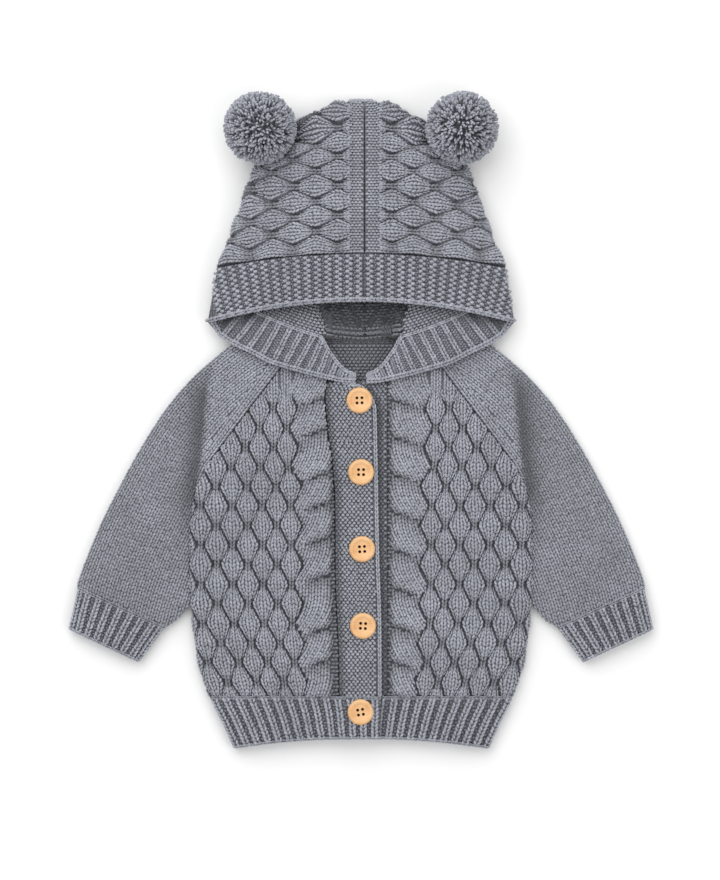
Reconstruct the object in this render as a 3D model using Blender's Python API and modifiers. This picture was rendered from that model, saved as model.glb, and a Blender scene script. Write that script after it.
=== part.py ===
"""A baby's hooded cardigan in chunky knit, laid flat on its back.

Every piece of knitting is a closed wall of cloth. A piece is described by a function that gives a
point of its outer or inner face, worked out from the tables below; cloth() samples that function.
Lengths are in millimetres until a mesh is made. +X is the side of the left sleeve, +Y points to the
hood, +Z up, and the origin is on the surface the cardigan lies on.
"""

import math
import random
from collections import namedtuple

import bmesh
import bpy
from mathutils import Vector

MM = 0.001

# Cloth and layers: heights above the surface that the cardigan lies on
BODY_CLOTH = 4.0
SLEEVE_CLOTH = 3.5
HOOD_CLOTH = 3.5
BAND_CLOTH = 3.5
SEAM_GAP = 0.3
BACK_SIDE_Z = 4.4
FRONT_SIDE_Z = BACK_SIDE_Z + SEAM_GAP
FRONT_TOP_Z = 11.5
RAGLAN_EDGE_Z = 9.5
SLEEVE_TOP_Z = 10.0
UNDER_BAND_Z = 7.5
TOP_BAND_Z = 11.3
LAPEL_Z = 11.9

# Body outline
HEM_TOP_Y = -213.0
HEM_CENTRE_Y = -244.0
HEM_SIDE_DROP = 7.8
ARMPIT_Y = -34.0
NECK_Y = 62.0
RAGLAN_TOP_X = 44.5
RAGLAN_SLOPE = 0.755
SLEEVE_GAP = 0.7
BACK_ROLL = 8.0
FRONT_ROLL = 26.0
RAGLAN_ROLL = 6.0

BodyRow = namedtuple("BodyRow", "y half_width")
BODY_SIDE = [
    BodyRow(-252.0, 98.0),
    BodyRow(-231.0, 107.0),
    BodyRow(-212.0, 116.5),
    BodyRow(-184.0, 125.0),
    BodyRow(-159.0, 128.5),
    BodyRow(-121.0, 131.0),
    BodyRow(-87.0, 130.5),
    BodyRow(-68.0, 129.0),
    BodyRow(-53.0, 125.5),
    BodyRow(ARMPIT_Y, RAGLAN_TOP_X + RAGLAN_SLOPE * (NECK_Y - ARMPIT_Y)),
]

# Inner borders of the two fronts, and the edges of the two button bands
FrontRow = namedtuple("FrontRow", "y right_front_x left_front_x")
FRONT_BORDER = [
    FrontRow(-213.0, 17.3, 20.6),
    FrontRow(-195.0, 17.3, 20.6),
    FrontRow(-121.0, 20.0, 20.6),
    FrontRow(-57.0, 20.6, 20.6),
    FrontRow(16.5, 28.0, 20.6),
    FrontRow(34.0, 26.0, 20.8),
    FrontRow(53.0, 26.0, 25.0),
    FrontRow(61.5, 30.0, 30.0),
]
BandRow = namedtuple("BandRow", "y free_x")
TOP_BAND_EDGE = [
    BandRow(-244.0, 14.5),
    BandRow(-224.0, 15.4),
    BandRow(-157.0, 15.1),
    BandRow(-99.0, 13.4),
    BandRow(-36.0, 12.3),
    BandRow(7.7, 11.4),
    BandRow(19.0, 7.6),
    BandRow(26.0, 0.8),
    BandRow(29.4, -12.0),
]
BAND_TOP_Y = 29.4
UNDER_BAND_X = -8.5
BAND_RAMP = 7.0
HEM_RAMP = (-24.0, -14.0)
UNDER_HEM_DROP = 0.5
UNDER_HEM_RAMP = (24.0, 20.0)

# Sleeve: a row across it for each line from the neck to the cuff
SleeveRow = namedtuple("SleeveRow", "outer_x outer_y inner_x inner_y")
SLEEVE = [
    SleeveRow(47.0, 71.0, 45.2, 61.6),
    SleeveRow(85.5, 64.0, 60.8, 40.0),
    SleeveRow(117.8, 42.0, 79.6, 15.4),
    SleeveRow(144.4, 14.4, 98.0, -8.0),
    SleeveRow(169.6, -23.6, 117.8, -34.0),
    SleeveRow(183.6, -49.0, 127.0, -60.0),
    SleeveRow(198.4, -78.5, 130.5, -92.0),
    SleeveRow(210.0, -106.0, 131.0, -121.0),
    SleeveRow(215.0, -119.0, 131.6, -140.0),
    SleeveRow(216.6, -124.0, 139.0, -150.5),
    SleeveRow(217.5, -129.0, 151.0, -159.5),
]
CUFF_END = SleeveRow(224.3, -160.0, 170.2, -185.5)
SLEEVE_ROLL = 12.0

# Hood: each row runs from the crown seam on top, round the side fold, to the seam behind
HoodRow = namedtuple("HoodRow", "side_x side_y side_z top_y top_z under_y under_z")
HOOD = [
    HoodRow(110.3, 117.0, 11.0, 127.4, 27.0, 62.1, 0.0),
    HoodRow(99.5, 140.0, 9.5, 147.8, 27.0, 92.4, 0.0),
    HoodRow(92.8, 160.0, 8.5, 167.0, 26.0, 121.7, 0.0),
    HoodRow(83.5, 184.8, 8.5, 186.3, 25.0, 152.5, 0.0),
    HoodRow(72.0, 195.0, 8.2, 202.5, 23.0, 177.0, 0.0),
    HoodRow(54.0, 205.0, 8.0, 217.0, 21.0, 200.0, 0.0),
    HoodRow(45.5, 228.0, 7.6, 229.5, 18.0, 219.5, 0.0),
    HoodRow(24.0, 240.2, 7.0, 238.7, 13.5, 232.9, 0.0),
    HoodRow(9.5, 244.6, 6.4, 243.8, 10.8, 241.0, 1.6),
]
CROWN_SEAM_X = 2.7
HOOD_ROLL = 10.0
HOOD_ARCH = 2.5
SIDE_RELIEF = 0.45

# Ribbed hood band: the forehead rows carry on from the hood, the lapel rows lie on the shoulders
BAND_FREE = HoodRow(117.7, 75.2, 11.8, 91.6, 26.5, 0.0, 0.0)
LapelRow = namedtuple("LapelRow", "free_x free_y seam_x seam_y")
LAPEL = [
    LapelRow(117.7, 75.2, 110.3, 116.6),
    LapelRow(111.0, 67.8, 97.0, 98.0),
    LapelRow(98.6, 59.3, 84.0, 86.0),
    LapelRow(82.8, 51.6, 71.0, 79.4),
    LapelRow(67.8, 43.9, 58.0, 74.0),
    LapelRow(54.7, 40.0, 44.5, 69.0),
    LapelRow(40.8, 36.2, 31.5, 65.2),
    LapelRow(27.0, 33.1, 24.5, 53.5),
    LapelRow(13.1, 30.6, 13.5, 39.5),
    LapelRow(4.0, 30.3, 4.0, 34.5),
]
RollRow = namedtuple("RollRow", "y x")
COLLAR_ROLL = [RollRow(62.0, 30.0), RollRow(83.0, 38.8), RollRow(92.0, 43.0), RollRow(120.0, 50.0)]
COLLAR_RAMP = 10.0
LAPEL_LIFT_Y = (72.0, 108.0)
LAPEL_DROOP_X = (88.0, 110.0)
LAPEL_DROOP = 0.35
SIDE_FOLD_Y = (-31.0, -69.0)

# Relief of the knitting
BUBBLE_WIDTH = 22.6
BUBBLE_LENGTH = 30.0
BUBBLE_HEIGHT = 4.2
FIRST_BUBBLE = (54.3, -51.1)
HOOD_BUBBLE_WIDTH = 22.7
HOOD_BUBBLE_LENGTH = 35.4
FIRST_HOOD_BUBBLE = (20.8, 190.5)
CABLE_WIDTH = 29.0
CABLE_REPEAT = 30.0
CABLE_HEIGHT = 4.0
CABLE_X = 20.5
FIRST_CABLE_Y = -9.0
HOOD_CABLE_WIDTH = 24.0
MOSS_STRIP = 11.5
PLAIN_FRONT_Y = (27.0, 12.0)
RELIEF_FADE = 5.0
CABLE_BORDER = 3.0
RIB_HEIGHT = 1.8
RIB_END = 0.08
HEM_RIBS = 24
HEM_STEPS = 38
HEM_FOLD_STEPS = 10
CUFF_RIBS = 10
FOREHEAD_RIBS = 15
LAPEL_RIBS = 13
Lobe = namedtuple("Lobe", "across along half_width half_length")
CABLE_LOBES = [Lobe(0.41, 0.47, 0.32, 0.50), Lobe(0.74, 0.94, 0.34, 0.40)]

# Buttons and pompoms
BUTTON_PLACES = [(-1.2, 15.0), (0.0, -40.0), (0.8, -99.0), (1.5, -157.9), (-0.4, -224.0)]
BUTTON_RADIUS = 10.0
BUTTON_Z = 15.6
BUTTON_STEPS = 16
BUTTON_HOLE_RADIUS = 1.0
BUTTON_HOLE_OFFSET = 2.1
POMPOM_PLACE = (77.2, 223.1)
POMPOM_RADIUS = 28.4
POMPOM_CORE = 18.0
POMPOM_Z = 29.8
POMPOM_SEED = 7

YARN = (0.215, 0.24, 0.285, 1.0)
WOOD = (0.91, 0.57, 0.24, 1.0)


# ---------------------------------------------------------------- helpers

def lerp(a, b, t):
    return a + (b - a) * t


def smooth(t):
    """0 to 1 with level ends."""
    t = min(max(t, 0.0), 1.0)
    return t * t * (3.0 - 2.0 * t)


def ramp(x, start, end):
    """0 at start and before it, 1 at end and past it, smooth between."""
    return smooth((x - start) / (end - start))


def even(first, last, count):
    """count + 1 numbers from first to last."""
    return [lerp(first, last, i / count) for i in range(count + 1)]


def curve(stops, values):
    """A smooth function through values at rising stops, with no overshoot."""
    steps = [b - a for a, b in zip(stops, stops[1:])]
    slopes = [(b - a) / step for a, b, step in zip(values, values[1:], steps)]
    tangents = [slopes[0]]
    for before, after in zip(slopes, slopes[1:]):
        level = before * after <= 0
        tangents.append(0.0 if level else 2 * before * after / (before + after))
    tangents.append(slopes[-1])

    def value(x):
        x = min(max(x, stops[0]), stops[-1])
        i = 0
        while i < len(steps) - 1 and x > stops[i + 1]:
            i += 1
        t = (x - stops[i]) / steps[i]
        rise = tangents[i] * steps[i] * t * (1 - t) ** 2 - tangents[i + 1] * steps[i] * t * t * (1 - t)
        return lerp(values[i], values[i + 1], t * t * (3 - 2 * t)) + rise

    return value


def column(table, name, stops=None):
    """The named column of a table as a smooth function of its row number, or of the stops."""
    return curve(stops or list(range(len(table))), [getattr(row, name) for row in table])


def make_material(name, color, roughness):
    material = bpy.data.materials.new(name)
    material.use_nodes = True
    shader = material.node_tree.nodes["Principled BSDF"]
    shader.inputs["Base Color"].default_value = color
    shader.inputs["Roughness"].default_value = roughness
    shader.inputs["Metallic"].default_value = 0.0
    material.diffuse_color = color
    return material


def add_object(name, mesh, material, collection):
    mesh.materials.clear()
    mesh.materials.append(material)
    item = bpy.data.objects.new(name, mesh)
    collection.objects.link(item)
    return item


def stitch(bm, first, first_stops, second, second_stops):
    """Triangles between two borders that run side by side."""
    i = j = 0
    while i < len(first) - 1 or j < len(second) - 1:
        next_first = first_stops[i + 1] if i < len(first) - 1 else math.inf
        next_second = second_stops[j + 1] if j < len(second) - 1 else math.inf
        if next_first <= next_second:
            bm.faces.new((first[i], first[i + 1], second[j]))
            i += 1
        else:
            bm.faces.new((first[i], second[j + 1], second[j]))
            j += 1


def split_cell(bm, grid, i, j, middle):
    """Two triangles for a cell of a grid, folded so that they pass closest to its true middle."""
    a, b, c, d = grid[i][j], grid[i][j + 1], grid[i + 1][j + 1], grid[i + 1][j]
    if ((a.co + c.co) / 2 - middle).length < ((b.co + d.co) / 2 - middle).length:
        bm.faces.new((a, b, c))
        bm.faces.new((a, c, d))
    else:
        bm.faces.new((a, b, d))
        bm.faces.new((b, c, d))


def cloth(name, point, outer, inner, material, collection):
    """A closed wall of cloth. point(row, column, inside) is in millimetres, outer and inner are
    pairs of row stops and column stops that start and end alike."""
    bm = bmesh.new()
    grids = []
    for (rows, columns), inside in ((outer, False), (inner, True)):
        grid = [[bm.verts.new(Vector(point(r, c, inside)) * MM) for c in columns] for r in rows]
        for i in range(len(rows) - 1):
            for j in range(len(columns) - 1):
                at = (rows[i] + rows[i + 1]) / 2, (columns[j] + columns[j + 1]) / 2
                split_cell(bm, grid, i, j, Vector(point(*at, inside)) * MM)
        grids.append(grid)
    outside, lining = grids
    for end in (0, -1):
        stitch(bm, outside[end], outer[1], lining[end], inner[1])
        stitch(bm, [row[end] for row in outside], outer[0], [row[end] for row in lining], inner[0])
    bmesh.ops.recalc_face_normals(bm, faces=bm.faces[:])
    mesh = bpy.data.meshes.new(name)
    bm.to_mesh(mesh)
    bm.free()
    mesh.shade_smooth()
    mesh.set_sharp_from_angle(angle=math.radians(50))
    return add_object(name, mesh, material, collection)


# ---------------------------------------------------------------- relief of the knitting

def bubbles(across, along):
    """Lattice of pointed bubbles, 0 to 1. A bubble is 2 wide and 2 long, its neighbours half on."""
    best = 0.0
    for c in (math.floor(across), math.floor(across) + 1):
        b = (along - c % 2 + 1) % 2 - 1
        width = 0.5 * (1 + math.cos(math.pi * b))
        if width > abs(across - c):
            r = (across - c) / width
            best = max(best, (1 - r * r) ** 0.55 * width ** 0.4)
    return best


def cable(across, along):
    """Wide cable of overlapping leaves, 0 to 1, over a width of 1 and repeats of 1."""
    best = 0.0
    for turn in range(math.floor(along) - 2, math.floor(along) + 2):
        for lobe in CABLE_LOBES:
            a = (across - lobe.across) / lobe.half_width
            b = (along - turn - lobe.along) / lobe.half_length
            best = max(best, 1 - a * a - b * b)
    return math.sqrt(best)


def ribs(position):
    """1 on a rib, 0 between two, for a position counted in ribs."""
    return 0.5 - 0.5 * math.cos(2 * math.pi * position)


def rib_ends(v):
    """1 along a rib, 0 at its two ends, for v from 0 to 1 along it."""
    return ramp(v, 0, RIB_END) * ramp(v, 1, 1 - RIB_END)


def front_relief(x, y):
    """Height of the cable and the bubbles on a front, at distance x from the middle."""
    in_cable = cable((x - CABLE_X) / CABLE_WIDTH, (FIRST_CABLE_Y - y) / CABLE_REPEAT)
    across = (x - FIRST_BUBBLE[0]) / (BUBBLE_WIDTH / 2)
    in_bubbles = bubbles(across, (y - FIRST_BUBBLE[1]) / (BUBBLE_LENGTH / 2))
    cable_end = CABLE_X + CABLE_WIDTH
    past_cable = ramp(x, cable_end - CABLE_BORDER, cable_end)
    height = max(CABLE_HEIGHT * in_cable, BUBBLE_HEIGHT * in_bubbles * past_cable)
    from_raglan = half_width(y) - x if y > ARMPIT_Y else math.inf
    at_ends = ramp(y, *PLAIN_FRONT_Y) * ramp(y, HEM_TOP_Y, HEM_TOP_Y + RELIEF_FADE)
    return height * at_ends * ramp(from_raglan, 0, RELIEF_FADE)


def hood_relief(u, q):
    """Height on top of the hood, u from the crown seam along a row and q up the seam."""
    in_cable = cable(1 - (q - HOOD[0].top_y) / HOOD_CABLE_WIDTH, u / CABLE_REPEAT)
    across = (q - FIRST_HOOD_BUBBLE[1]) / (HOOD_BUBBLE_WIDTH / 2)
    in_bubbles = bubbles((u - FIRST_HOOD_BUBBLE[0]) / (HOOD_BUBBLE_LENGTH / 2), across)
    cable_end = HOOD[0].top_y + HOOD_CABLE_WIDTH
    past_cable = ramp(q, cable_end - CABLE_BORDER, cable_end)
    height = max(CABLE_HEIGHT * in_cable * (1 - past_cable), BUBBLE_HEIGHT * in_bubbles * past_cable)
    from_strip = ramp(u, MOSS_STRIP - RELIEF_FADE / 2, MOSS_STRIP + RELIEF_FADE / 2)
    return height * from_strip * ramp(q, HOOD[0].top_y, HOOD[0].top_y + RELIEF_FADE)


# ---------------------------------------------------------------- body, hems and button bands

side_line = column(BODY_SIDE, "half_width", [row.y for row in BODY_SIDE])
right_border = column(FRONT_BORDER, "right_front_x", [row.y for row in FRONT_BORDER])
left_border = column(FRONT_BORDER, "left_front_x", [row.y for row in FRONT_BORDER])
top_band_edge = column(TOP_BAND_EDGE, "free_x", [row.y for row in TOP_BAND_EDGE])


def half_width(y):
    """Half width of the body: its side seam, then the raglan seam above the armpit."""
    if y > ARMPIT_Y:
        return RAGLAN_TOP_X + RAGLAN_SLOPE * (NECK_Y - y)
    return side_line(y)


# Rows that the fronts share with the band sewn to them
ROW_STEP = BUBBLE_LENGTH / 4
PLACKET_ROWS = [HEM_TOP_Y] + [FIRST_BUBBLE[1] + ROW_STEP * i for i in range(-21, 11)]


def side_fold(y):
    """1 where front and back are folded together at the side, 0 along the raglan seam."""
    return ramp(y, *SIDE_FOLD_Y)


def roll_angle(c):
    """Cosine and sine round a rolled edge, for c from 1, where it starts, to 2, on the edge."""
    angle = max(c - 1, 0.0) * math.pi / 2
    return math.cos(angle), math.sin(angle)


def back_point(y, c, inside):
    """The back, flat on the surface: c runs from -2 to 2 and is rolled up past 1."""
    fold = side_fold(y)
    level, out = roll_angle(abs(c))
    reach = half_width(y) - BACK_ROLL
    x = reach * min(abs(c), 1) + (BACK_ROLL - (BODY_CLOTH * fold if inside else 0)) * out
    z = BACK_SIDE_Z * fold * (1 - level)
    if inside:
        z += BODY_CLOTH * lerp(1, level, fold)
    return math.copysign(x, c), y, z


def front_cloth(x_in, half, y, c, inside, relief):
    """x and z of a front: c from 0, its inner border, to 1, and round the side fold to 2."""
    fold = side_fold(y)
    level, out = roll_angle(c)
    roll = lerp(RAGLAN_ROLL, FRONT_ROLL, fold)
    edge_z = lerp(RAGLAN_EDGE_Z, FRONT_SIDE_Z, fold)
    x = lerp(x_in, half - roll, min(c, 1)) + (roll - (BODY_CLOTH * fold if inside else 0)) * out
    z = edge_z + (FRONT_TOP_Z - edge_z) * level
    if inside:
        z -= BODY_CLOTH * lerp(1, level, fold)
    else:
        z += relief(x) * ramp(level, 0, 0.8)
    return x, z


def front_point(side):
    border = left_border if side > 0 else right_border

    def point(y, c, inside):
        x, z = front_cloth(border(y), half_width(y), y, c, inside, lambda at: front_relief(at, y))
        return side * x, y, z

    return point


def hem_y(v, x):
    """Rows of the hem: v from 0, where it joins the body, to 1, its curved lower edge."""
    low = HEM_CENTRE_Y - HEM_SIDE_DROP * (abs(x) / BODY_SIDE[0].half_width) ** 2.2
    return lerp(HEM_TOP_Y - SEAM_GAP, low, v)


def hem_back_point(v, c, inside):
    guess = lerp(HEM_TOP_Y - SEAM_GAP, HEM_CENTRE_Y - HEM_SIDE_DROP, v)
    x, _, z = back_point(guess, c, inside)
    return x, hem_y(v, x), z


def hem_front_point(side):
    """A front hem, out to the side fold; its inner end laps over or under at the middle."""

    def point(v, c, inside):
        guess = lerp(HEM_TOP_Y - SEAM_GAP, HEM_CENTRE_Y - HEM_SIDE_DROP, v)
        half = side_line(guess)
        over = side < 0
        inner_x = -top_band_edge(guess) if over else UNDER_BAND_X

        def relief(x):
            hidden_to = top_band_edge(guess)
            if over:
                x_from = abs(side * x - BUTTON_PLACES[-1][0]) - BUTTON_RADIUS
            else:
                x_from = x - hidden_to
            rib = ribs((x - inner_x) / (half - inner_x) * HEM_RIBS)
            return RIB_HEIGHT * rib * rib_ends(v) * ramp(x_from, 0, 3)

        x, z = front_cloth(inner_x, half, guess, c, inside, relief)
        x = side * x
        if over:
            z += (TOP_BAND_Z - UNDER_BAND_Z) * ramp(x, *HEM_RAMP)
        else:
            z -= UNDER_HEM_DROP * ramp(x, *UNDER_HEM_RAMP)
        return x, hem_y(v, x), z

    return point


def band_top_point(y, c, inside):
    """The buttonhole band, c from its seam to the right front to its free edge."""
    x = lerp(-right_border(y) + SEAM_GAP, top_band_edge(y), c)
    z = lerp(UNDER_BAND_Z + 0.2, TOP_BAND_Z, ramp(x + right_border(y), 0, BAND_RAMP))
    return x, y, z if inside else z + BAND_CLOTH


def band_under_point(y, c, inside):
    """The button band, under the other one, c from its free edge to the left front."""
    x = lerp(UNDER_BAND_X, left_border(y) - SEAM_GAP, c)
    return x, y, UNDER_BAND_Z if inside else UNDER_BAND_Z + BAND_CLOTH


def make_body(yarn, collection):
    side_rows = [HEM_TOP_Y, -198, -184, -168, -145, -120, -95, -80, -68, -60, -53, -47, -41]
    side_rows += [-37, -34, -31]
    back_rows = side_rows + [NECK_Y - 0.2]
    back_columns = [-2, -1.6, -1.25, -1, 0, 1, 1.25, 1.6, 2]
    grid = (back_rows, back_columns)
    cloth("body_back", back_point, grid, grid, yarn, collection)

    front_rows = PLACKET_ROWS + [40, 52, 61.2]
    front_columns = even(0, 1, 22) + [1.17, 1.34, 1.5, 1.67, 1.84, 2]
    inner = (side_rows + even(-22, 61.2, 10), [0, 1, 1.34, 1.67, 2])
    for side, name in ((-1, "front_right"), (1, "front_left")):
        cloth(name, front_point(side), (front_rows, front_columns), inner, yarn, collection)


def make_hems(yarn, collection):
    rows = [0, 0.5, 1]
    columns = [-2, -1.6, -1.25, -1, -0.5, 0, 0.5, 1, 1.25, 1.6, 2]
    cloth("hem_back", hem_back_point, (rows, columns), (rows, columns), yarn, collection)
    ribbed = even(0, 1, HEM_STEPS)
    ribbed += [1 + math.asin(i / HEM_FOLD_STEPS) / (math.pi / 2) for i in range(1, HEM_FOLD_STEPS + 1)]
    plain = [0, 0.1, 0.16, 0.22, 0.3, 0.5, 1, 1.34, 1.67, 2]
    for side, name in ((-1, "hem_right"), (1, "hem_left")):
        outer = ([0, RIB_END, 1 - RIB_END, 1], ribbed)
        cloth(name, hem_front_point(side), outer, (rows, plain), yarn, collection)


def make_bands(yarn, collection):
    top_rows = PLACKET_ROWS + [BAND_TOP_Y]
    top_columns = [0, 0.08, 0.16, 0.25, 0.5, 1]
    grid = (top_rows, top_columns)
    cloth("band_top", band_top_point, grid, grid, yarn, collection)
    grid = (even(HEM_TOP_Y, BAND_TOP_Y, 8), even(0, 1, 2))
    cloth("band_under", band_under_point, grid, grid, yarn, collection)


# ---------------------------------------------------------------- sleeves and cuffs

outer_x = column(SLEEVE, "outer_x")
outer_y = column(SLEEVE, "outer_y")
inner_x = column(SLEEVE, "inner_x")
inner_y = column(SLEEVE, "inner_y")
LAST_SLEEVE_ROW = len(SLEEVE) - 1
BODY_SLEEVE_ROWS = 8


def sleeve_ends(row):
    """Where a row of the sleeve starts, beside the body, and ends, at the outer fold."""
    start = Vector((inner_x(row), inner_y(row)))
    if row <= BODY_SLEEVE_ROWS:
        start.x = half_width(start.y) + SLEEVE_GAP
    return start, Vector((outer_x(row), outer_y(row)))


def cuff_ends(v):
    """A row of the cuff, v from 0, where it joins the sleeve, to 1."""
    start, end = sleeve_ends(LAST_SLEEVE_ROW)
    low_start = Vector((CUFF_END.inner_x, CUFF_END.inner_y))
    low_end = Vector((CUFF_END.outer_x, CUFF_END.outer_y))
    along = (low_start - start).normalized() * SEAM_GAP
    return (start + along).lerp(low_start, v), (end + along).lerp(low_end, v)


def tube_section(width, fold, c, inside):
    """Distance along a sleeve row and height, c from 0 on the top edge beside the body, round the
    outer fold at 3, to 6 on the lower edge; fold is 1 where the two edges meet under the arm."""
    middle = SLEEVE_TOP_Z / 2
    wall = SLEEVE_CLOTH if inside else 0.0
    near = min(lerp(RAGLAN_ROLL, SLEEVE_ROLL, fold), 0.3 * width)
    far = min(SLEEVE_ROLL, 0.45 * width)
    under = c > 3
    step = 6 - c if under else c
    if step <= 1:
        level, up = math.cos(step * math.pi / 2), math.sin(step * math.pi / 2)
        edge = lerp(SLEEVE_TOP_Z - 0.8, middle + SEAM_GAP / 2, fold)
        if under:
            edge = lerp(0.0, middle - SEAM_GAP / 2, fold)
        s = near * (1 - level) + wall * fold * level
        z = lerp(edge, 0.0 if under else SLEEVE_TOP_Z, up)
        lift = wall * lerp(1, up, fold)
        return s, z + lift if under else z - lift
    if step <= 2:
        s = lerp(near, width - far, step - 1)
        return s, wall if under else SLEEVE_TOP_Z - wall
    level, out = math.cos((step - 2) * math.pi / 2), math.sin((step - 2) * math.pi / 2)
    z = (middle - wall) * level
    return width - far + (far - wall) * out, middle - z if under else middle + z


def sleeve_point(side, ends, fold_at, relief):
    def point(row, c, inside):
        start, end = ends(row)
        width = (end - start).length
        s, z = tube_section(width, fold_at(row, start), c, inside)
        if not inside:
            z += relief(row, c)
        place = start + (end - start) * (s / width)
        return side * place.x, place.y, z

    return point


def make_sleeves(yarn, collection):
    rows = even(0, 3.4, 5) + [3.7, 4, 4.25, 4.5, 4.75, 5, 5.5, 6, 7] + [8, 8.5, 9, LAST_SLEEVE_ROW]
    columns = [0, 0.5, 1, 1.5, 2, 2.33, 2.67, 3, 3.33, 3.67, 4, 5, 5.5, 6]
    lining = [0, 0.5, 1, 2, 2.33, 2.67, 3, 3.33, 3.67, 4, 5, 5.5, 6]
    cuff_columns = [0, 0.5] + even(1, 2, 2 * CUFF_RIBS) + columns[5:]

    def cuff_ribs(v, c):
        if not 1 < c < 2:
            return 0.0
        return RIB_HEIGHT * ribs((c - 1) * CUFF_RIBS) * rib_ends(v)

    for side, name in ((-1, "right"), (1, "left")):
        point = sleeve_point(side, sleeve_ends, lambda row, start: side_fold(start.y), lambda row, c: 0.0)
        cloth("sleeve_" + name, point, (rows, columns), (rows, lining), yarn, collection)
        point = sleeve_point(side, cuff_ends, lambda row, start: 1.0, cuff_ribs)
        outer = ([0, RIB_END, 1 - RIB_END, 1], cuff_columns)
        cloth("cuff_" + name, point, outer, ([0, 1], lining), yarn, collection)


# ---------------------------------------------------------------- hood and its ribbed band

hood_columns = {name: column(HOOD, name) for name in HoodRow._fields}
collar_roll = column(COLLAR_ROLL, "x", [row.y for row in COLLAR_ROLL])
lapel_columns = {name: column(LAPEL, name) for name in LapelRow._fields}
BACK_SEAM_LINE = [(CROWN_SEAM_X, HOOD[0].under_y)] + [(row.seam_x, row.seam_y) for row in LAPEL[6::-1]]
lapel_seam = curve([x for x, y in BACK_SEAM_LINE], [y for x, y in BACK_SEAM_LINE])


def lapel_lift(x, y):
    """How high the hood's lower layer lies where it laps over the shoulder."""
    return LAPEL_Z * (1 - ramp(y, *LAPEL_LIFT_Y)) * (1 - LAPEL_DROOP * ramp(x, *LAPEL_DROOP_X))


def collar_lift(x, y):
    """The same, dropping to the surface inside the collar's roll."""
    return lapel_lift(x, y) * smooth((x - collar_roll(y)) / COLLAR_RAMP + 1)


def wall_rise(height, x, y):
    """Upright thickness of the hood's cloth where it slopes."""
    step = 0.5
    slope_x = (height(x + step, y) - height(x - step, y)) / (2 * step)
    slope_y = (height(x, y + step) - height(x, y - step)) / (2 * step)
    return HOOD_CLOTH * math.sqrt(1 + slope_x ** 2 + slope_y ** 2)


def slope_normal(first, second, row):
    """Unit normal, to the left, of the line (first, second) as the row number grows."""
    step = 0.05
    low, high = max(row - step, 0), min(row + step, len(HOOD) - 1)
    along = Vector((first(high) - first(low), second(high) - second(low))).normalized()
    return Vector((along.y, -along.x))


def hood_frame(row, inside):
    """Top, side and lower points of a hood row, moved in by the cloth for its inner face."""
    get = {name: value(row) for name, value in hood_columns.items()}
    top = Vector((get["top_y"], get["top_z"]))
    side = Vector((get["side_x"], get["side_y"]))
    under = Vector((get["under_y"], get["under_z"]))
    if inside:
        top += HOOD_CLOTH * slope_normal(hood_columns["top_y"], hood_columns["top_z"], row)
        outward = slope_normal(hood_columns["side_x"], hood_columns["side_y"], row)
        side -= HOOD_CLOTH * Vector((outward.x, outward.y * smooth(row)))
        under -= HOOD_CLOTH * slope_normal(hood_columns["under_y"], hood_columns["under_z"], row)
    return top, side, get["side_z"], under


def arch(c):
    """Fractions out and up along the arched top, c from 0 on the seam to 1 at the side."""
    angle = c * math.pi / 2
    power = 2 / HOOD_ARCH
    return math.sin(angle) ** power, max(math.cos(angle), 0.0) ** power


def measure_arch():
    """Girth along the arch of a hood row, 0 to 1, as a function of c, and the other way round."""
    half, rise, count = 110.0, 16.0, 60
    stops = even(0.0, 1.0, count)
    places = [Vector((half * arch(c)[0], rise * arch(c)[1])) for c in stops]
    lengths = [0.0]
    for a, b in zip(places, places[1:]):
        lengths.append(lengths[-1] + (b - a).length)
    shares = [length / lengths[-1] for length in lengths]
    return curve(stops, shares), curve(shares, stops)


girth, girth_stop = measure_arch()


def hood_base(side, row, c, inside):
    """Hood half without relief: c from 0 on the crown seam to 1 at the side fold, 2 where the
    fold ends below, and 3 on the seam behind."""
    top, edge, edge_z, under = hood_frame(row, inside)
    middle = side * CROWN_SEAM_X + SEAM_GAP / 2
    if c <= 1:
        out, up = arch(c)
        x = lerp(middle, edge.x, out)
        return Vector((x, lerp(top.x, edge.y, out * out), lerp(edge_z, top.y, up)))
    outer = Vector((hood_columns["side_x"](row), hood_columns["side_y"](row)))
    roll = min(HOOD_ROLL, 0.8 * (outer.x - middle))
    level, down = (math.cos((c - 1) * math.pi / 2), math.sin((c - 1) * math.pi / 2)) if c < 2 else (0, 1)
    x = lerp(outer.x - roll * (1 - level), middle, max(c - 2, 0))
    out = max((x - middle) / (outer.x - middle), 0.0)
    line = lerp(under.x, outer.y, out ** 2.2)
    start = lerp(HOOD[0].under_y, HOOD[0].side_y, out ** 2.2)
    y = line + (1 - smooth(row / 1.5)) * (lapel_seam(x) + SEAM_GAP - start)
    low = hood_columns["under_z"](row) + collar_lift(x, y)
    x += (edge.x - outer.x) * level
    y += (edge.y - outer.y) * level
    if inside:
        thick = wall_rise(collar_lift, x, y) if row < 4 else HOOD_CLOTH
        low = max(low + thick, under.y)
    return Vector((x, y, lerp(edge_z, low, down)))


def hood_normal(side, row, c):
    """Unit normal of the outer face on the arched top."""
    step = 0.02
    left = hood_base(side, row, max(c - step, 0), False)
    right = hood_base(side, row, min(c + step, 1), False)
    low = hood_base(side, max(row - step, 0), c, False)
    high = hood_base(side, min(row + step, len(HOOD) - 1), c, False)
    return (right - left).cross(high - low).normalized()


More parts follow.
